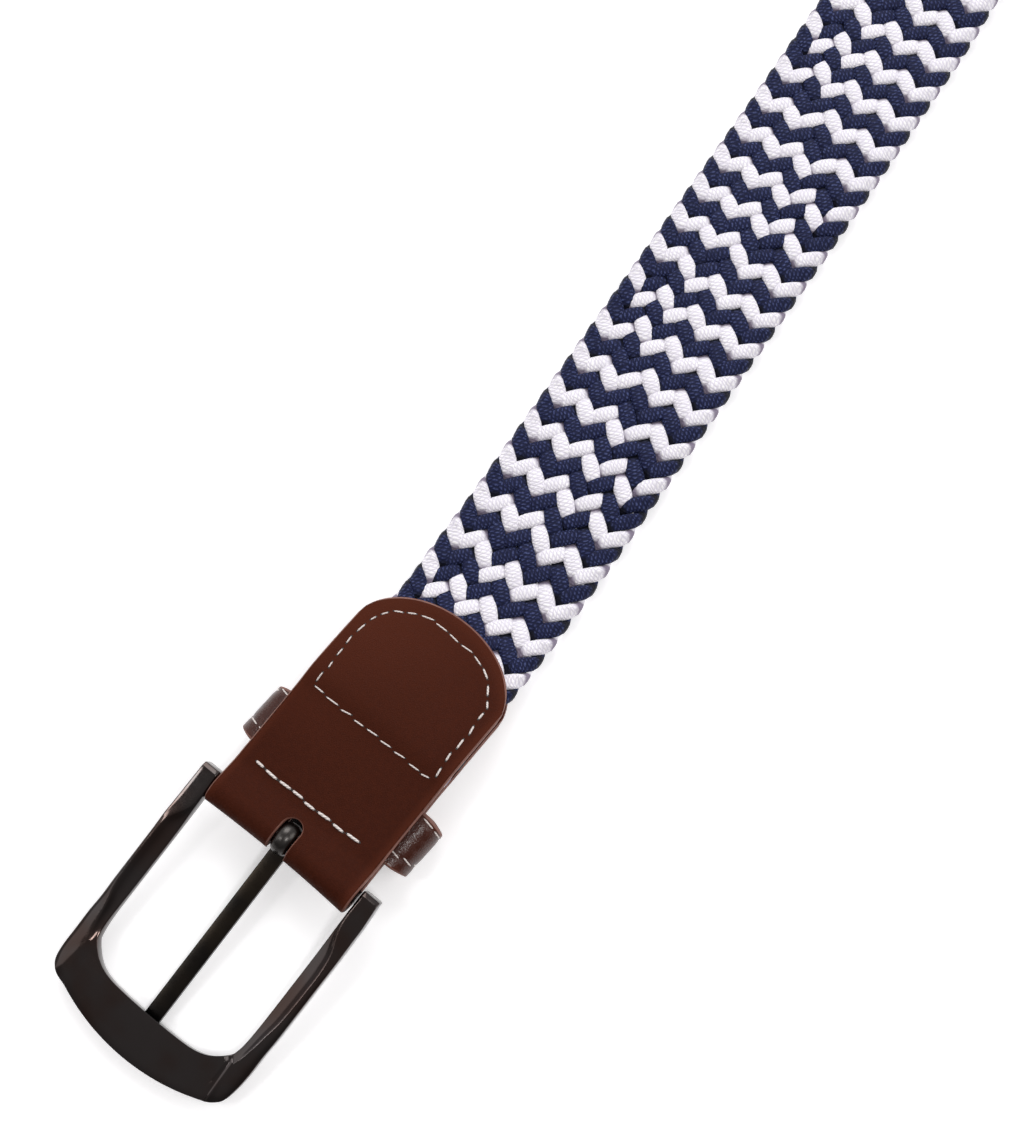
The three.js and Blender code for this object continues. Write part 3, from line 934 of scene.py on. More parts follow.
@dataclass
class FlatBraid:
    """Seventeen cords, nine navy and eight white, braided flat in eight columns."""

    finishes: Finishes
    cords: int = 17
    columns: int = 8
    pitch: float = 4.76
    half_path: float = 17.5
    first_turn: float = 67.89
    inner_shift: float = 1.0
    float_lean: float = 0.22
    lift: float = 1.02
    dive: float = 0.27
    end_width: float = 0.82
    float_width: float = 1.03
    end_shape: float = 1.5
    full_thickness: float = 2.15
    cord_half_width: float = 1.74
    cord_half_height: float = 1.08
    squareness: float = 0.7
    broad_float: float = 1.14
    start: float = 34.5
    end: float = 289.4
    step: float = 0.62
    sides: int = 12
    route_steps: int = 96
    turn_reach: float = 2.2
    mean_reach: int = 3
    mean_width: float = 1.3
    spacing_rows: Rows = (
        (34.0, 34.0), (67.1, 66.9), (79.5, 79.6), (89.2, 90.2),
        (107.6, 109.9), (128.1, 131.2), (148.1, 151.2), (300.0, 293.9),
    )
    lean_rows: Rows = ((66.0, 1.1), (84.0, 0.9), (104.0, 0.3), (130.0, 0.3), (160.0, 0.75))
    width_rows: Rows = ((240.0, 1.0), (268.0, 0.94))
    drift_rows: Rows = (
        (34.0, -2.2), (40.0, -2.0), (48.0, -0.9), (58.0, -0.9),
        (80.0, -0.35), (200.0, -0.35), (240.0, 0.0),
    )
    seat_rows: Rows = ((64.0, 0.0), (78.0, 0.32), (255.0, 0.32), (266.0, 0.0))
    height_rows: Rows = (
        (34.2, 1.0), (38.5, 1.7), (65.8, 1.7), (74.0, 2.15), (260.0, 2.15), (270.0, 1.7),
    )

    def spaced(self, distance: float) -> float:
        """Turns an even distance along the braid into the worn braid's uneven one."""
        rows = self.spacing_rows
        for (a, first), (b, second) in zip(rows, rows[1:]):
            if distance <= b or b == rows[-1][0]:
                return first + (second - first) * (distance - a) / (b - a)
        return distance

    def half_cycle(self, edge_distance: float, from_left: bool) -> list[Step]:
        """Runs one cord from one edge of the braid to the other.

        Args:
            edge_distance: distance along the belt at which the cord leaves the edge.
            from_left: whether it leaves the left edge.

        Returns:
            Steps of distance along, distance across, height share and turn of its flat face.
        """
        path = 2 * self.half_path
        width = path / self.columns
        slope = self.cords * self.pitch / (2 * path)
        sign = -1 if from_left else 1
        steps = []
        for i in range(self.route_steps):
            u = path * i / self.route_steps
            left = u if from_left else path - u
            wave = self.float_lean * width / math.tau * math.sin(math.tau * u / width)
            across = self.half_path - left
            course = edge_distance + slope * (u + wave)
            lean = -ease(self.lean_rows, course) * across / self.half_path
            across += self.inner_shift * (1 - (across / self.half_path) ** 2)
            rise = math.sin(math.pi * left / width)
            height = sign * math.copysign(abs(rise) ** self.dive, rise)
            turned = sign * ease(((0.0, 0.0), (self.turn_reach, 1.0)), min(u, path - u))
            steps.append((self.spaced(course + lean), across, height, turned))
        return steps

    def cord_route(self, index: int) -> list[Step]:
        """Chains a cord's half cycles from before the braid's start to past its end."""
        half = self.cords * self.pitch / 2
        edge = self.first_turn + (index + 0.5) * self.pitch
        from_left = True
        while edge > self.start:
            edge -= half
            from_left = not from_left
        route = []
        while self.spaced(edge) < self.end:
            route += self.half_cycle(edge, from_left)
            edge += half
            from_left = not from_left
        return self.smooth([step for step in route if self.start <= step[0] <= self.end])

    def smooth(self, route: list[Step]) -> list[Step]:
        """Rounds a route's corners with a short running mean."""
        rounded = []
        for i in range(len(route)):
            near = range(max(0, i - self.mean_reach), min(len(route), i + self.mean_reach + 1))
            weights = [math.exp(-(((j - i) / self.mean_width) ** 2)) for j in near]
            columns = zip(*(route[j] for j in near))
            sums = (sum(w * value for w, value in zip(weights, column)) for column in columns)
            rounded.append(tuple(total / sum(weights) for total in sums))
        return rounded

    def stations(self, index: int) -> list[tuple[Vector, Vector, Vector]]:
        """Lists a cord's middle, its flat face's direction and its shares, along its route.

        Args:
            index: the cord's number.

        Returns:
            Rows of two vectors and a third one of the thickness, breadth and height shares.
        """
        stations = []
        for distance, across, height, turned in self.cord_route(index):
            middle, side, up = LINE.braid_axes(distance)
            scale = ease(self.height_rows, middle.x) / self.full_thickness
            across = across * ease(self.width_rows, middle.x) + ease(self.drift_rows, middle.x)
            lift = height * self.lift * scale + ease(self.seat_rows, middle.x)
            angle = math.pi / 2 * turned
            face = side * math.cos(angle) + up * math.sin(angle)
            swell = (self.float_width - self.end_width) * abs(height) ** self.end_shape
            breadth = (self.end_width + swell) * (self.broad_float if height * turned > 0 else 1)
            shares = Vector((scale, breadth, height))
            stations.append((middle + side * across + up * lift, face, shares))
        return stations

    def cord(self, index: int) -> Piece:
        """Sweeps one cord's rounded flat section along its route, in even steps."""
        stations = self.stations(index)
        lengths = way_lengths([station[0] for station in stations])
        count = max(2, round(lengths[-1] / self.step))
        rows = []
        for i in range(count + 1):
            k, share = find_on(lengths, lengths[-1] * i / count)
            rows.append([a.lerp(b, share) for a, b in zip(stations[k], stations[k + 1])])
        sections = []
        for i, (spot, face, shares) in enumerate(rows):
            ahead = (rows[min(count, i + 1)][0] - rows[max(0, i - 1)][0]).normalized()
            wide = ahead.cross(face).normalized()
            sections.append(self.section(spot, wide, wide.cross(ahead), shares))
        # The crowns mark where the cord dives; its material darkens these places as painted shade.
        crowns = [abs(shares.z) for _, _, shares in rows]
        piece = skin(f"cord_{index}", sections, ring=True, crowns=crowns)
        rewrite_uv(piece, lambda _, uv: (uv[0], uv[1] * lengths[-1]))
        return piece

    def section(self, spot: Vector, wide: Vector, high: Vector, shares: Vector) -> list[Vector]:
        """Draws a cord's section as a rounded flat oval round a spot."""
        wide = wide * self.cord_half_width * shares.y
        high = high * self.cord_half_height * shares.x
        points = []
        for j in range(self.sides):
            angle = math.tau * j / self.sides
            across, out = (
                math.copysign(abs(value) ** self.squareness, value)
                for value in (math.cos(angle), math.sin(angle))
            )
            points.append(to_frame(spot + wide * across + high * out))
        return points

    def build(self) -> None:
        """Builds the navy and the white cords as two pieces."""
        navy = join("navy_cords", [self.cord(k) for k in range(0, self.cords, 2)])
        white = join("white_cords", [self.cord(k) for k in range(1, self.cords, 2)])
        hand_over(navy, Slot.NAVY, [self.finishes.navy], "braided_strap")
        hand_over(white, Slot.WHITE, [self.finishes.white])


@dataclass
class LeatherTab:
    """One leather strip folded round the crossbar, slotted for the prong."""

    finishes: Finishes
    slot_half_width: float = 2.4
    slot_ends: tuple[tuple[float, int], ...] = ((8.6, 1), (10.8, -1))
    slot_rings: tuple[tuple[float | None, float], ...] = (
        (None, 0.0), (-0.3, 0.0), (0.03, 0.3), (3.0, 0.6),
    )
    slot_start: float = -4.0
    slot_overlap: float = 0.001
    slot_steps: int = 8
    slot_arc_steps: int = 24
    straight_start: float = 8.0
    arch_rows_start: float = 40.0
    row_step: float = 0.9
    columns: int = 56
    column_bunching: float = 0.55
    edge_round: float = 0.48
    seam_depth: float = 0.13
    seam_half_width: float = 0.6
    fold_start_deg: float = 80.0
    fold_turn_deg: float = 200.0
    fold_rows: int = 26
    fold_reach: Pair = (0.4, 0.55)
    fold_narrowing: float = 0.4
    narrow_start: float = 0.6
    crest_half: float = 0.5
    crest_floor: float = 0.6
    # Painted light: a highlight along the edges, and light over the round end's left part.
    side_highlight: float = 1.5
    arch_highlight: float = 0.8
    edge_highlight_rows: Rows = ((0.6, 0.75), (4.2, 0.0))
    lit_side_rows: Rows = ((0.0, 0.2), (16.0, 0.12), (30.0, 0.42), (56.0, 0.9))

    def seam_dent(self, x: float, y: float) -> float:
        """Gives how deep the stitches pull the leather in at a place."""
        nearest = min(seam.distance(x, y) for seam in TAB_SEAMS.values())
        return self.seam_depth * math.exp(-((nearest / self.seam_half_width) ** 2))

    def painted_light(self, x: float, y: float) -> float:
        """Gives how much painted light the leather gets: a painted highlight along the edge, and
        some over the round end's left part.
        """
        from_side = self.side_highlight * (LINE.tab_half_width - abs(y))
        from_arch = self.arch_highlight * (LINE.arch_x(y) - x)
        lit_side = ease(self.lit_side_rows, x) * (1 + y / LINE.tab_half_width) / 2
        return max(ease(self.edge_highlight_rows, min(from_side, from_arch)), lit_side)

    def side_path(self, end: float, share: float) -> list[tuple[float, float, int]]:
        """Lists the mid-surface from the top leather's end round the fold to the lower end.

        Args:
            end: where the strip ends at this distance across.
            share: that distance as a share of the half width; the fold reaches out at its ends.

        Returns:
            Rows of x, height, and the side that faces outwards: 1 up, -1 down, 0 in the fold.
        """
        xs = self.spread(end, self.arch_rows_start, LINE.tab_end)[:-1]
        xs += self.spread(self.arch_rows_start, self.straight_start, self.arch_rows_start)
        path = [(x, LINE.leather_height(x, 1), 1) for x in xs]
        reach = self.fold_reach[0] + self.fold_reach[1] * share**2
        for i in range(self.fold_rows + 1):
            angle = math.radians(self.fold_start_deg + self.fold_turn_deg * i / self.fold_rows)
            bend = LINE.fold_radius + (reach if math.cos(angle) < 0 else 0.0)
            height = LINE.bar_z + LINE.fold_radius * math.sin(angle)
            path.append((LINE.bar_x + bend * math.cos(angle), height, 0))
        return path + [(x, LINE.leather_height(x, -1), -1) for x in reversed(xs)]

    def spread(self, first: float, last: float, longest: float) -> list[float]:
        """Lists even steps from first to last, as many as the longest run has."""
        count = round((longest - last) / self.row_step)
        return [first + (last - first) * i / count for i in range(count + 1)]

    def strip(self) -> Piece:
        """Folds the strip and gives it its thickness."""
        rows: list[list[Vector]] = []
        painted_lights: list[float] = []
        bunching = self.column_bunching
        for j in range(self.columns + 1):
            v = 2 * j / self.columns - 1
            share = bunching * math.sin(v * math.pi / 2) + (1 - bunching) * v
            y = LINE.tab_half_width * share
            row = []
            for x, height, out in self.side_path(LINE.arch_x(y), share):
                dent = self.seam_dent(x, y) * out
                narrow = self.fold_narrowing * max(0.0, (self.narrow_start - x) / LINE.leather) ** 2
                row.append(to_frame(Vector((x, y - narrow * share, height - dent))))
                painted_lights.append(self.painted_light(x, y))
            rows.append(row)
        piece = skin("leather_tab_dressed", rows)
        rewrite_uv(piece, lambda vertex, _: (painted_lights[vertex], 0.0))
        thicken(piece, LINE.leather, self.finishes.tab)
        return piece

    def outer_face(self, x: float, side: int) -> float:
        """Gives the outer face's height over the slot, on the top (1) or below (-1)."""
        bend = LINE.fold_radius + LINE.leather / 2
        reach = x - LINE.bar_x
        if x >= self.straight_start:
            return LINE.face_height(x, side)
        if reach <= self.crest_half:
            rise = max(self.crest_floor, bend**2 - reach**2)
            return LINE.bar_z + side * math.sqrt(rise)
        run = self.straight_start - LINE.bar_x - self.crest_half
        near = LINE.bar_z + side * math.sqrt(bend**2 - self.crest_half**2)
        far = LINE.face_height(self.straight_start, side)
        return near + (far - near) * (reach - self.crest_half) / run

    def cutter(self, end: float, side: int) -> Piece:
        """Makes a round-ended plug, flared at the leather's face, for one half of the slot.

        Args:
            end: how far the slot reaches from the fold.
            side: 1 for the top leather, -1 for the lower one.

        Returns:
            The plug.
        """
        half = self.slot_half_width
        middle = end - half
        straight = [self.slot_start]
        straight += [middle * k / self.slot_steps for k in range(self.slot_steps)]
        outline = [(x, -half, 0.0, -1.0) for x in straight]
        for k in range(self.slot_arc_steps + 1):
            angle = math.pi * (k / self.slot_arc_steps - 0.5)
            c, s = math.cos(angle), math.sin(angle)
            outline.append((middle + half * c, half * s, c, s))
        outline += [(x, half, 0.0, 1.0) for x in reversed(straight)]
        rings = []
        for sink, flare in self.slot_rings:
            ring = []
            for x, y, out_x, out_y in outline:
                height = LINE.bar_z - side * self.slot_overlap
                if sink is not None:
                    height = self.outer_face(x, side) + side * sink
                ring.append(to_frame(Vector((x + out_x * flare, y + out_y * flare, height))))
            rings.append(ring)
        block = skin("slot_plug", rings, ring=True)
        paint(block, self.finishes.tab, 1)
        return block

    def build(self) -> None:
        """Builds the tab, rounds its edges and cuts the slot."""
        piece = self.strip()
        round_edges(piece, self.edge_round, 50, material=1)
        for end, side in self.slot_ends:
            combine(piece, self.cutter(end, side), "DIFFERENCE")
        hand_over(piece, Slot.LEATHER, self.finishes.tab, "leather_tab", smooth_deg=35)


@dataclass
class Stitching:
    """Listed stitches of the tab, on both of its leathers."""

    finishes: Finishes
    seat: float = 0.16
    stand: float = 0.3
    fullness: float = 1.02
    round_power: int = 5
    end_drop: float = 0.55
    drop_power: int = 6
    hole_width: float = 0.372
    hole_height: float = 0.12
    hole_sink: float = 0.1

    @classmethod
    def stitch(cls) -> Piece:
        """Models one stitch, one unit long and thick, with its ends drawn down."""
        piece = ball(10, 12)

        def lay() -> None:
            bpy.ops.transform.rotate(value=math.pi / 2, orient_axis="Y", center_override=(0, 0, 0))

        in_edit(piece, lay)
        for vertex in piece.data.vertices:
            share = abs(2 * vertex.co.x)
            full = min(1.0, (1 - share**cls.round_power) * cls.fullness)
            ring = math.hypot(vertex.co.y, vertex.co.z)
            swell = 0.5 * math.sqrt(max(0.0, full)) / ring if ring > 1e-6 else 1.0
            vertex.co.y *= swell
            vertex.co.z = vertex.co.z * swell - cls.end_drop * share**cls.drop_power
        return piece

    def axes(self, x: float, heading: Vector, side: int) -> tuple[Vector, Vector, Vector]:
        """Gives the ahead, wide and outward directions on the top (1) or lower (-1) leather."""
        slope = LINE.leather_height(x + 0.5, side) - LINE.leather_height(x - 0.5, side)
        ahead = Vector((heading.x, heading.y, slope * heading.x)).normalized()
        wide = (Vector((-slope, 0, 1)).normalized() * side).cross(ahead).normalized()
        return ahead, wide, ahead.cross(wide)

    def surface(self, x: float, y: float, side: int) -> Vector:
        """Finds the leather's outer face under a stitch."""
        return Vector((x, y, LINE.face_height(x, side) - side * self.seat))

    def lay(self, model: Piece, row: Stitch, thick: float, side: int) -> Piece:
        """Puts one stitch on the top (1) or lower (-1) leather."""
        first, second = Vector((*row[:2], 0)), Vector((*row[2:], 0))
        x, y, _ = (first + second) / 2
        way = second - first
        ahead, wide, up = self.axes(x, way.normalized(), side)
        spot = to_frame(self.surface(x, y, side) + up * (self.stand * thick))
        return copy_of(model, ahead * way.length, wide * thick, up * thick, spot)

    def hole_shade(self, model: Piece, x: float, y: float, thick: float, side: int) -> Piece:
        """Puts a dark dot at a stitch's end, painted shade for the mouth of its needle hole."""
        ahead, wide, up = self.axes(x, Vector((1, 0, 0)), side)
        size = self.hole_width * (1 + thick)
        spot = to_frame(self.surface(x, y, side) + up * (self.seat - self.hole_sink))
        return copy_of(model, ahead * size, wide * size, up * self.hole_height, spot)

    def build(self) -> None:
        """Builds the tab's stitches as one piece, and the painted shade of their needle holes as
        another.
        """
        model, dot = self.stitch(), ball(8, 6)
        stitches, hole_shades = [], []
        for seam in TAB_SEAMS.values():
            for row in seam.stitches:
                for side in (1, -1):
                    stitches.append(self.lay(model, row, seam.thick, side))
                    for end in (row[:2], row[2:]):
                        hole_shades.append(self.hole_shade(dot, *end, seam.thick, side))
        bpy.data.objects.remove(model)
        bpy.data.objects.remove(dot)
        thread = join("tab_stitches", stitches)
        shaded_holes = join("needle_hole_shade_dots", hole_shades)
        hand_over(thread, Slot.THREAD, [self.finishes.thread])
        hand_over(shaded_holes, Slot.LEATHER, [self.finishes.hole_shade])


@dataclass
class KeeperLoop:
    """Flat leather band round the strap, stitched along both edges."""

    finishes: Finishes
    start: float = 14.1
    width: float = 14.2
    thickness: float = 1.7
    height: float = 10.1
    straight_half: float = 19.95
    side_shift: float = -0.6
    skew_deg: float = -3.4
    draw_in: float = 0.85
    edge_inset: float = 0.02
    seams: tuple[tuple[int, float, float], ...] = ((1, 1.15, 0.39), (-1, 3.25, 0.05))
    seam_dip: float = 0.22
    seam_reach: float = 0.7
    seam_lean: float = 0.12
    stitches_round: int = 28
    stitch_length: float = 3.1
    stitch_thick: float = 0.36
    stitch_sink: float = 0.05
    columns: int = 28
    flat_rows: int = 34
    bend_rows: int = 26
    edge_round: float = 0.5
    edge_highlight_rows: Rows = ((0.72, 0.0), (1.0, 0.7))

    def spot(self, side: int, flat: float, turn: float, radius: float) -> tuple[Vector, Vector]:
        """Finds a place round the band.

        Args:
            side: 1 for the upper flat and the bend after it, -1 for the lower ones.
            flat: how far along the flat it is, from 0 to 1.
            turn: how far round the bend it is, from 0 to 1.
            radius: half the height of the loop at this depth in the leather.

        Returns:
            The place and the outward direction, both across the belt and upwards.
        """
        angle = math.pi * (0.5 + turn)
        out = Vector((0, side * math.cos(angle), side * math.sin(angle)))
        y = side * self.straight_half * (1 - 2 * flat)
        return Vector((0, y, self.height / 2)) + out * radius, out

    def ring(self) -> list[tuple[Vector, Vector]]:
        """Lists the band's mid-surface and its outward directions, once round."""
        radius = (self.height - self.thickness) / 2
        path = []
        for side in (1, -1):
            path += [self.spot(side, i / self.flat_rows, 0, radius) for i in range(self.flat_rows)]
            path += [self.spot(side, 1, i / self.bend_rows, radius) for i in range(self.bend_rows)]
        return path

    def turned(self, way: Vector) -> Vector:
        """Turns a direction by the band's skew."""
        return Matrix.Rotation(math.radians(self.skew_deg), 3, "Z") @ way

    def place(self, along: float, spot: Vector) -> Vector:
        """Places a point of the band, which sits a little askew on the tab."""
        middle = Vector((self.start + self.width / 2, self.side_shift, 0))
        return self.turned(Vector((along, spot.y, spot.z))) + middle

    def dip(self, share: float, half: float) -> float:
        """Gives how far a seam pulls the leather in, at a share of the half width."""
        inset = next(inset for edge, inset, _ in self.seams if (edge > 0) == (share > 0))
        from_seam = half * (1 - abs(share)) - inset
        return self.seam_dip * math.exp(-((from_seam / self.seam_reach) ** 2))

    def build(self) -> None:
        """Builds the band and its stitches."""
        rows = []
        for spot, out in self.ring():
            half = self.width / 2 - self.draw_in * out.y**2 - self.edge_inset
            row = []
            for j in range(self.columns + 1):
                share = 2 * j / self.columns - 1
                row.append(to_frame(self.place(half * share, spot - out * self.dip(share, half))))
            rows.append(row)
        piece = skin("keeper_band", rows, loop=True)
        # Painted highlight: the UV map marks a lighter band along the keeper's two edges.
        rewrite_uv(piece, lambda _, uv: (ease(self.edge_highlight_rows, abs(2 * uv[0] - 1)), 0.0))
        materials = (self.finishes.keeper, self.finishes.cut_edge)
        thicken(piece, self.thickness, materials)
        round_edges(piece, self.edge_round, 50, material=1)
        hand_over(piece, Slot.LEATHER, materials, "keeper_loop", smooth_deg=35)
        self.stitches()

    def stitches(self) -> None:
        """Lays two seams of stitches round the band's outer face."""
        model = Stitching.stitch()
        thick = self.stitch_thick
        copies = []
        for edge, inset, phase in self.seams:
            for i in range(self.stitches_round):
                spot, out = self.outer((i + phase) / self.stitches_round % 1)
                along = edge * (self.width / 2 - self.draw_in * out.y**2 - inset)
                up = self.turned(out)
                middle = self.place(along, spot) - up * (thick / 2 + self.stitch_sink)
                ahead = self.turned(Vector((self.seam_lean, out.z, -out.y))).normalized()
                wide = up.cross(ahead).normalized() * thick
                ahead = ahead * self.stitch_length
                copies.append(copy_of(model, ahead, wide, up * thick, to_frame(middle)))
        bpy.data.objects.remove(model)
        hand_over(join("keeper_stitches", copies), Slot.THREAD, [self.finishes.thread])

    def outer(self, share: float) -> tuple[Vector, Vector]:
        """Finds a place on the band's outer face by its share of the way round."""
        radius = self.height / 2
        flat, bend = 2 * self.straight_half, math.pi * radius
        left = share * 2 * (flat + bend)
        side = 1
        if left >= flat + bend:
            left -= flat + bend
            side = -1
        if left < flat:
            return self.spot(side, left / flat, 0, radius)
        return self.spot(side, 1, (left - flat) / bend, radius)


@dataclass(frozen=True)
class HalfFrame:
    """What one half of the frame has of its own.

    The ridge's reach is added along the arm; the corner's outer edge, the bar's tops and the
    scoop's dips are listed from the arm to the bar.
    """

    side: int
    ridge_reach: float
    wide: float
    corner: tuple[float, ...]
    tops: tuple[float, ...]
    dips: tuple[float, ...]
    fall: float
    edge: float


HALVES = (
    HalfFrame(
        side=1,
        ridge_reach=0.4,
        wide=25.2,
        corner=(25.35, 25.35, 24.85, 23.3, 21.7),
        tops=(2.26, 2.26, 2.26, 2.24, 2.18, 2.14, 2.18, 2.24, 2.28),
        dips=(1.1, 0.85, 0.7, 0.58, 0.48, 0.4, 0.3, 0.2, 0.05, 0.05, 0.05),
        fall=0.8,
        edge=0.5,
    ),
    HalfFrame(
        side=-1,
        ridge_reach=0.0,
        wide=25.5,
        corner=(25.25, 24.9, 24.1, 22.5, 21.1),
        tops=(2.2, 2.15, 2.12, 2.15, 1.8, 2.3, 2.3, 2.3, 2.3),
        dips=(1.2, 1.0, 0.9, 0.9, 0.85, 0.7, 0.2, 0.05, 0.05, 0.05, 0.05),
        fall=1.1,
        edge=0.4,
    ),
)


@dataclass
class BuckleFrame:
    """U-shaped metal frame with a broad curved front bar and faceted arms."""

    finishes: Finishes
    window_half: float = 20.5
    front_x: float = -55.55
    front_radius: float = 53.0
    under: float = 2.3
    tilt_deg: float = 7.3
    side_shift: float = -0.3
    skew_deg: float = 0.3
    edge_break: float = 0.5
    edge_round: float = 0.22
    round_rows: Rows = ((24.0, 0.0), (44.0, 1.0))
    notch_width: float = 5.0
    notch_ends: Pair = (-51.2, -43.3)
    notch_depth: float = 2.1
    notch_y: float = -0.15
    draft_rows: Rows = ((-43.0, 0.7), (-37.0, 0.0))
    cheek_shares: tuple[Pair, ...] = ((0.22, 0.62), (0.5, 0.26), (0.8, 0.04))
    scoop_shares: tuple[Pair, ...] = ((0.25, 0.36), (0.5, 0.64), (0.75, 0.85))
    fine: int = 4

    def front(self, y: float) -> float:
        """Gives the front bar's outer edge at a distance across."""
        return self.front_x + self.front_radius - math.sqrt(self.front_radius**2 - y * y)

    def rows(self, half: HalfFrame) -> list[tuple[float, ...]]:
        """Lists sections of half the frame, from the arm's end to the bar's middle.

        Args:
            half: the half's own sizes.

        Returns:
            Rows of outer x, outer y, ridge x, ridge y, inner x, inner y, height, how far the
            cheek drops, how far the scoop dips, and 1 where a crease lies.
        """
        w, wide, out = self.window_half, half.wide, half.ridge_reach
        corner, tops, dips = half.corner, half.tops, half.dips
        arm = (
            (6.0, 24.95, 21.0, 1.6, 0.0, 0.3, 1),
            (5.0, 24.95, 21.0, 2.3, 0.0, 0.4, 1),
            (-0.5, wide - 0.15, 20.9, 2.3, 0.05, 0.4, 0),
            (-4.1, wide - 0.1, 21.4, 2.3, 0.05, 0.7, 0),
            (-8.6, wide, 23.2 + 1.5 * out, 2.3, 0.1, 1.5, 0),
            (-12.4, wide, 23.8 + out, 2.3, 0.5, 1.8, 0),
            (-17.0, wide, 23.95 + out, 2.3, 0.6, 1.9, 0),
            (-26.6, wide, 23.7 + out, 2.3, 0.7, 1.8, 0),
            (-31.5, wide - 0.05, 23.0, 2.3, 0.9, 1.5, 0),
        )
        return [(x, outer, x, ridge, x, w, *rest) for x, outer, ridge, *rest in arm] + [
            (-36.0, corner[0], -35.5, 22.4, -35.0, 20.4, 2.3, 1.1, dips[0], 0),
            (-40.6, corner[0], -38.1, 21.9, -37.2, 20.2, 2.25, 1.3, dips[1], 0),
            (-45.2, corner[1], -39.4, 21.5, -38.4, 19.95, tops[0], 1.4, dips[2], 0),
            (-48.7, corner[2], -40.2, 21.2, -39.1, 19.75, tops[1], 1.4, dips[3], 0),
            (-50.5, corner[3], -40.7, 21.0, -39.55, 19.5, tops[2], half.fall, dips[4], 0),
            (-51.25, corner[4], -40.9, 20.7, -39.85, 19.25, tops[3], half.edge, dips[5], 1),
            (-51.5, 20.6, -41.1, 20.15, -40.15, 19.0, tops[4], 0.3, dips[6], 1),
            (self.front(19.4), 19.4, -41.5, 19.4, -40.65, 18.5, tops[5], 0.5, dips[7], 1),
            (self.front(17), 17.0, -42.9, 17.2, -42.2, 16.6, tops[6], 0.5, dips[8], 0),
            (self.front(14), 14.0, -44.0, 14.9, -43.3, 14.6, tops[7], 0.5, dips[9], 0),
            (self.front(10.5), 10.5, -44.75, 11.9, -44.05, 11.8, tops[8], 0.5, dips[10], 0),
            (self.front(7), 7.0, -45.05, 8.5, -44.35, 8.5, 2.3, 0.5, 0.05, 0),
            (self.front(3.5), 3.5, -45.2, 4.2, -44.5, 4.2, 2.3, 0.5, 0.05, 0),
            (self.front_x, 0.0, -45.25, 0.0, -44.55, 0.0, 2.3, 0.5, 0.05, 0),
        ]

    def fine_rows(self, half: HalfFrame) -> list[list[float]]:
        """Fills in sections between the listed ones, smoothly except at the creases."""
        rows = self.rows(half)
        line = rows + [self.mirror(row) for row in rows[-2:-4:-1]]
        filled = []
        for i, (first, second) in enumerate(zip(rows, rows[1:])):
            before = line[i - 1] if i > 0 and not first[-1] else first
            after = line[i + 2] if not second[-1] else second
            parts = 1 if first[-1] and second[-1] else self.fine
            columns = list(zip(before, first, second, after))[:-1]
            filled += [[self.glide(*four, k / parts) for four in columns] for k in range(parts)]
        return [*filled, list(rows[-1][:-1])]

    @staticmethod
    def mirror(row: tuple[float, ...]) -> tuple[float, ...]:
        """Gives a row of the other half, so that the middle is rounded evenly."""
        ox, oy, rx, ry, ix, iy, *rest = row
        return (ox, -oy, rx, -ry, ix, -iy, *rest)

    @staticmethod
    def glide(a: float, b: float, c: float, d: float, t: float) -> float:
        """Runs smoothly from b to c with neighbours a and d."""
        cubic = 3 * (b - c) + d - a
        return b + 0.5 * t * (c - a + t * (2 * a - 5 * b + 4 * c - d + t * cubic))

    def section(self, row: Sequence[float], side: int) -> list[Vector]:
        """Draws one section of the frame on one side."""
        ox, oy, rx, ry, ix, iy, height, cheek, dip = row
        outer, ridge, inner = (Vector((x, side * y, 0)) for x, y in ((ox, oy), (rx, ry), (ix, iy)))
        across = (inner - outer).normalized()
        draft = ease(self.draft_rows, ix)
        low = -self.under

        def at(spot: Vector, distance: float, level: float) -> Vector:
            return spot + across * distance + Vector((0, 0, level))

        return [
            at(outer, self.edge_break, low),
            at(outer, 0, low + self.edge_break),
            at(outer, 0, height - cheek),
            *(at(outer.lerp(ridge, k), 0, height - drop * cheek) for k, drop in self.cheek_shares),
            at(ridge, 0, height),
            *(at(ridge.lerp(inner, k), 0, height - drop * dip) for k, drop in self.scoop_shares),
            at(inner, 0, height - dip),
            at(inner, -draft, low + self.edge_break),
            at(inner, -draft - self.edge_break, low),
        ]

    def place(self, spot: Vector) -> Vector:
        """Places a point drawn flat about the crossbar."""
        moved = spot - Vector((LINE.bar_x, -self.side_shift, 0))
        moved = Matrix.Rotation(math.radians(self.skew_deg), 3, "Z") @ moved
        moved = Matrix.Rotation(-math.radians(self.tilt_deg), 3, "Y") @ moved
        return to_frame(moved + Vector((LINE.bar_x, 0, LINE.bar_z)))

    def notch(self) -> Piece:
        """Makes the block that cuts the prong's seat into the bar's underside."""
        only()
        bpy.ops.mesh.primitive_cube_add(size=1)
        block = bpy.context.object
        far, near = self.notch_ends
        for vertex in block.data.vertices:
            x, y, z = vertex.co
            across = self.notch_y + y * self.notch_width
            level = -self.under + z * 2 * self.notch_depth
            vertex.co = self.place(Vector((far + (x + 0.5) * (near - far), across, level)))
        return block

    def build(self) -> None:
        """Builds the frame, rounds its edges and cuts the notch."""
        left, right = (
            [self.section(row, half.side) for row in self.fine_rows(half)] for half in HALVES
        )
        sections = left + right[-2::-1]
        rows = [[self.place(point) for point in section] for section in sections]
        piece = skin("buckle_frame_polished", rows, ring=True)
        weigh_edges(piece, self.round_rows)
        bevel(piece, self.edge_round, limit_method="WEIGHT")
        combine(piece, self.notch(), "DIFFERENCE")
        metal = [self.finishes.gunmetal]
        hand_over(piece, Slot.GUNMETAL, metal, "buckle_frame", Body.BUCKLE, smooth_deg=28)


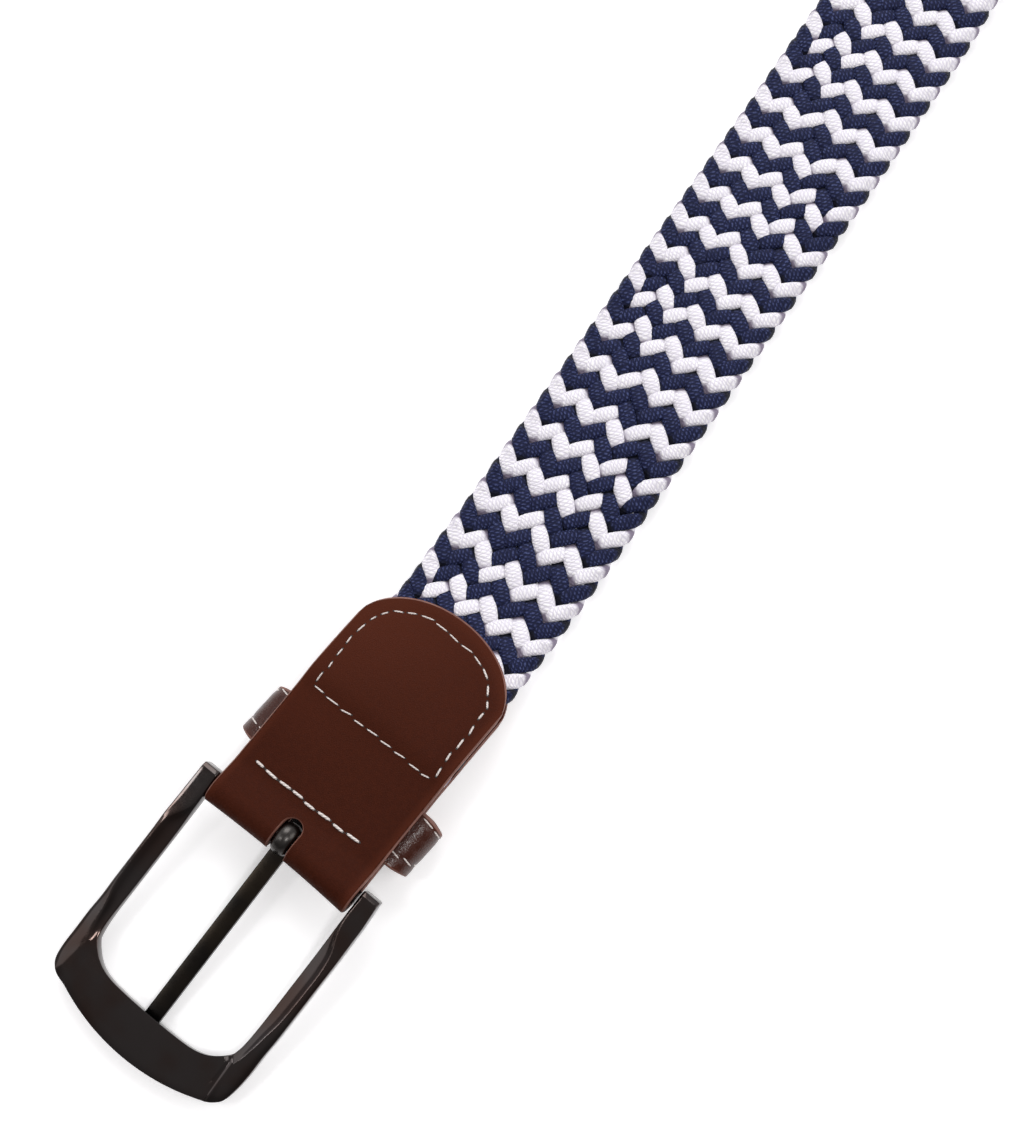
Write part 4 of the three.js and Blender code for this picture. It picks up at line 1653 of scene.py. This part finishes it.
@dataclass
class ProngAndBar:
    """Flat prong whose end is curled round the crossbar, and the crossbar as the model has it."""

    finishes: Finishes
    half_width: float = 2.0
    inner: float = 2.0
    thickness: float = 2.0
    tip: float = -54.25
    tip_bevel: float = 0.7
    tip_rows: tuple[tuple[float, float, float], ...] = (
        (0.0, 1.0, 0.9), (0.4, 0.45, 0.6), (1.0, 0.1, 0.3), (2.0, 0.0, 0.0),
    )
    strip_rows: int = 12
    fall_deg: float = 5.7
    skew_deg: float = 0.8
    corner_steps: int = 5
    strip_round: float = 0.36
    thin_round: float = 0.45
    curl_rows: int = 56
    curl_round: float = 0.25
    curl_inset: float = 0.02
    curl_sink: float = 0.03
    dome_share: float = 0.62
    dome_inset: float = 0.1
    dome_rows: Rows = ((-1.0, 0.0), (0.1, 1.0))
    swell: float = 0.12
    swell_at_deg: float = 40.0

    def outline(
        self, half: float, low: float, high: float, under: float, over: Pair
    ) -> list[Pair]:
        """Draws a section with rounded corners, as distances across and out.

        Args:
            half: half its width.
            low: its inner face.
            high: its outer face.
            under: the inner corners' radius.
            over: the outer corners' radii across and out.

        Returns:
            The section's points in order.
        """
        wide, tall = over
        corners = (
            (half - under, low + under, under, under),
            (half - wide, high - tall, wide, tall),
            (wide - half, high - tall, wide, tall),
            (under - half, low + under, under, under),
        )
        points = []
        for quarter, (across, out, reach_across, reach_out) in enumerate(corners):
            for k in range(self.corner_steps + 1):
                angle = math.pi / 2 * (quarter - 1 + k / self.corner_steps)
                aside = across + reach_across * math.cos(angle)
                points.append((aside, out + reach_out * math.sin(angle)))
        return points

    def placed(self, x: float, y: float, z: float) -> Vector:
        """Places a point drawn about the crossbar's axis."""
        spot = Matrix.Rotation(-math.radians(self.fall_deg), 3, "Y") @ Vector((x, y, z))
        spot = Matrix.Rotation(math.radians(self.skew_deg), 3, "Z") @ spot
        return to_frame(spot + Vector((LINE.bar_x, 0, LINE.bar_z)))

    def strip(self) -> Piece:
        """Lays the flat strip from its bevelled tip to under the crossbar."""
        outer, bevelled = self.inner + self.thickness, self.tip_bevel
        stations = [
            (self.tip + along * bevelled, self.inner + near * bevelled, outer - far * bevelled)
            for along, near, far in self.tip_rows
        ]
        count = self.strip_rows
        stations += [(self.tip * (1 - k / count), self.inner, outer) for k in range(1, count + 1)]
        rows = []
        for x, near, far in stations:
            edge = min(self.strip_round, self.thin_round * (far - near))
            section = self.outline(self.half_width, near, far, edge, (edge, edge))
            rows.append([self.placed(x, y, -out) for y, out in section])
        return skin("prong_polished", rows, ring=True)

    def curl(self) -> Piece:
        """Bends the strip's end round the crossbar, domed across its outer face."""
        rows = []
        flat = self.strip_round
        for i in range(self.curl_rows):
            angle = math.tau * i / self.curl_rows - math.pi / 2
            from_swell = math.cos(angle - math.radians(self.swell_at_deg))
            swell = self.swell * max(0.0, from_swell) ** 2
            domed = ease(self.dome_rows, math.sin(angle))
            outer = self.inner + self.thickness - self.curl_sink + swell
            across = flat + domed * (self.half_width - self.dome_inset - flat)
            out = flat + domed * (self.dome_share * self.thickness - flat)
            half = self.half_width - self.curl_inset
            section = self.outline(half, self.inner, outer, self.curl_round, (across, out))
            c, s = math.cos(angle), math.sin(angle)
            rows.append([self.placed(r * c, y, r * s) for y, r in section])
        return skin("prong_curl", rows, ring=True, loop=True)

    def build(self) -> None:
        """Joins the strip and its curl and dresses the crossbar."""
        # The strip's darker finish is painted shade; the curl's lighter one is a painted highlight.
        materials = (self.finishes.prong, self.finishes.curl)
        piece, curl = self.strip(), self.curl()
        paint(piece, materials)
        paint(curl, materials, 1)
        combine(piece, curl, "UNION")
        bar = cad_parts["crossbar"].data
        if not bar.materials:
            bar.materials.append(None)
        for index in range(len(bar.materials)):
            bar.materials[index] = self.finishes.gunmetal
        hand_over(piece, Slot.GUNMETAL, materials, "prong", Body.TONGUE, smooth_deg=32)


@dataclass
class EndTip:
    """Plain leather tip on the free end, with one seam round it."""

    finishes: Finishes
    edge_round: float = 0.4
    mouth: float = 272.0
    mouth_gap: float = 1.8
    length: float = 32.0
    half_width: float = 18.6
    corner: float = 12.0
    corner_steps: int = 16
    seam_inset: float = 2.4
    stitch_pitch: float = 3.7
    stitch_length: float = 2.8
    stitch_thick: float = 0.4
    stitch_sinks: tuple[tuple[int, float], ...] = ((1, 0.05), (-1, 0.13))
    cast_height: float = 20.0

    def seam(self) -> list[Vector]:
        """Lists close points of the seam, as distances along and across the belt."""
        radius = self.corner - self.seam_inset
        side = self.half_width - self.corner
        far = self.mouth + self.length - self.corner
        start = self.mouth + self.mouth_gap
        path = [Vector((start, side + radius)), Vector((far, side + radius))]
        steps = range(self.corner_steps + 1)
        angles = [math.pi / 2 * k / self.corner_steps for k in steps]
        for sign, turns in ((1, reversed(angles)), (-1, angles)):
            for angle in turns:
                across = sign * (side + radius * math.sin(angle))
                path.append(Vector((far + radius * math.cos(angle), across)))
        return [*path, Vector((far, -side - radius)), Vector((start, -side - radius))]

    def stitches(self, piece: Piece) -> None:
        """Lays the seam's stitches on the tip's upper and lower faces."""
        model = Stitching.stitch()
        path = self.seam()
        lengths = way_lengths(path)
        count = round(lengths[-1] / self.stitch_pitch)
        bpy.context.view_layer.update()
        copies = []
        thick = self.stitch_thick
        for i in range(count):
            k, share = find_on(lengths, lengths[-1] * (i + 0.5) / count)
            way = (path[k + 1] - path[k]).normalized()
            spot = path[k].lerp(path[k + 1], share)
            middle, side, up = LINE.braid_axes(spot.x)
            heading = (side.cross(up) * way.x + side * way.y).normalized()
            place = middle + side * spot.y
            for face, sink in self.stitch_sinks:
                start = to_frame(place + up * (self.cast_height * face))
                hit, where, normal, _ = piece.ray_cast(start, -up * face)
                if hit:
                    out = normal.normalized()
                    wide = out.cross(heading).normalized()
                    ahead = wide.cross(out) * self.stitch_length
                    where = where - out * (sink * MM)
                    copies.append(copy_of(model, ahead, wide * thick, out * thick, where))
        bpy.data.objects.remove(model)
        hand_over(join("tip_stitches", copies), Slot.THREAD, [self.finishes.thread])

    def build(self) -> None:
        """Builds the tip from the model's own shape, and its seam."""
        piece = node_copy("end_tip_dressed", "end_tip")
        round_edges(piece, self.edge_round, 40)
        hand_over(piece, Slot.LEATHER, [self.finishes.leather], "end_tip", smooth_deg=35)
        self.stitches(piece)


@dataclass
class Studio:
    """Pale floor, soft lights and the camera above the buckle's right side."""

    eye: Triple = (24.469, -76.691, 448.026)
    right: Triple = (0.62756, -0.77690, -0.05088)
    above: Triple = (0.76816, 0.60719, 0.20311)
    lens: float = 62.94
    sensor: float = 36.0
    clip: Pair = (0.01, 20.0)
    bright_wall: Color = (0.98, 0.97, 1.0, 1)
    dim_wall: Color = (0.2, 0.19, 0.19, 1)
    ceiling_color: Color = (0.42, 0.4, 0.4, 1)
    bright_side: Pair = (0.9, 0.43)
    side_range: Pair = (-0.5, 1.0)
    wall_top: float = 0.45
    ceiling_start: float = 0.85
    air_strength: float = 0.95
    floor_size: float = 6.0
    floor_level: float = -0.0002
    aim: Triple = (-0.08, 0.0, 0.0)
    lamps: tuple[tuple[str, Triple, float, float], ...] = (
        ("back_softbox", (0.62, 0.5, 0.62), 0.7, 5.8),
        ("side_softbox", (0.5, -0.7, 0.55), 0.7, 3.5),
        ("scoop_softbox", (-0.36, 0.62, 0.45), 0.5, 0.8),
        ("ridge_lamp", (-0.36, 0.34, 0.68), 0.12, 0.6),
        ("keeper_lamp", (-0.11, -0.3, 0.85), 0.14, 1.8),
    )

    def camera(self) -> None:
        """Sets the camera up."""
        only()
        bpy.ops.object.camera_add(location=to_frame(Vector(self.eye)))
        camera = bpy.context.object
        right, above = Vector(self.right), Vector(self.above)
        turn = Matrix((right, above, right.cross(above))).transposed()
        camera.rotation_euler = turn.to_euler()
        camera.data.lens = self.lens
        camera.data.sensor_width = self.sensor
        camera.data.clip_start, camera.data.clip_end = self.clip
        bpy.context.scene.camera = camera

    def lamp(self, name: str, spot: Vector, size: float, watts: float) -> None:
        """Hangs a soft square lamp that faces the buckle."""
        only()
        bpy.ops.object.light_add(type="AREA", location=spot)
        lamp = bpy.context.object
        lamp.name = name
        lamp.data.shape = "SQUARE"
        lamp.data.size = size
        lamp.data.energy = watts
        lamp.rotation_euler = (Vector(self.aim) - spot).to_track_quat("-Z", "Y").to_euler()

    def air(self) -> None:
        """Lights the room from its walls; a dim ceiling keeps the flat metal dark."""
        world = bpy.data.worlds.new("studio_air")
        world.use_nodes = True
        nodes = Nodes(world.node_tree)
        back = world.node_tree.nodes["Background"]
        x, y, z = nodes.parts(nodes.add("TexCoord").outputs["Generated"])
        ceiling = nodes.smooth(z, self.wall_top, self.ceiling_start)
        side = nodes.weigh((x, self.bright_side[0]), (y, self.bright_side[1]))
        side = nodes.smooth(side, *self.side_range)
        walls = nodes.blend(side, self.dim_wall, self.bright_wall)
        light = nodes.blend(ceiling, walls, self.ceiling_color)
        nodes.feed_all(back, {0: light, 1: self.air_strength})
        bpy.context.scene.world = world

    def build(self) -> None:
        """Lays the floor and hangs the lamps."""
        bpy.context.scene.view_settings.view_transform = "Standard"
        only()
        bpy.ops.mesh.primitive_plane_add(size=self.floor_size, location=(0, 0, self.floor_level))
        floor = bpy.context.object
        floor.name = "floor"
        floor.data.materials.append(FloorFinish().build("pale_floor"))
        self.air()
        for name, spot, size, watts in self.lamps:
            self.lamp(name, Vector(spot), size, watts)


def main() -> None:
    """Builds the belt and its studio."""
    logging.basicConfig(level=logging.INFO, format="%(name)s: %(message)s")
    studio = Studio()
    studio.camera()
    finishes = Finishes()
    for part in (FlatBraid, LeatherTab, Stitching, KeeperLoop, BuckleFrame, ProngAndBar, EndTip):
        part(finishes).build()
    studio.build()


if __name__ == "__main__":
    main()
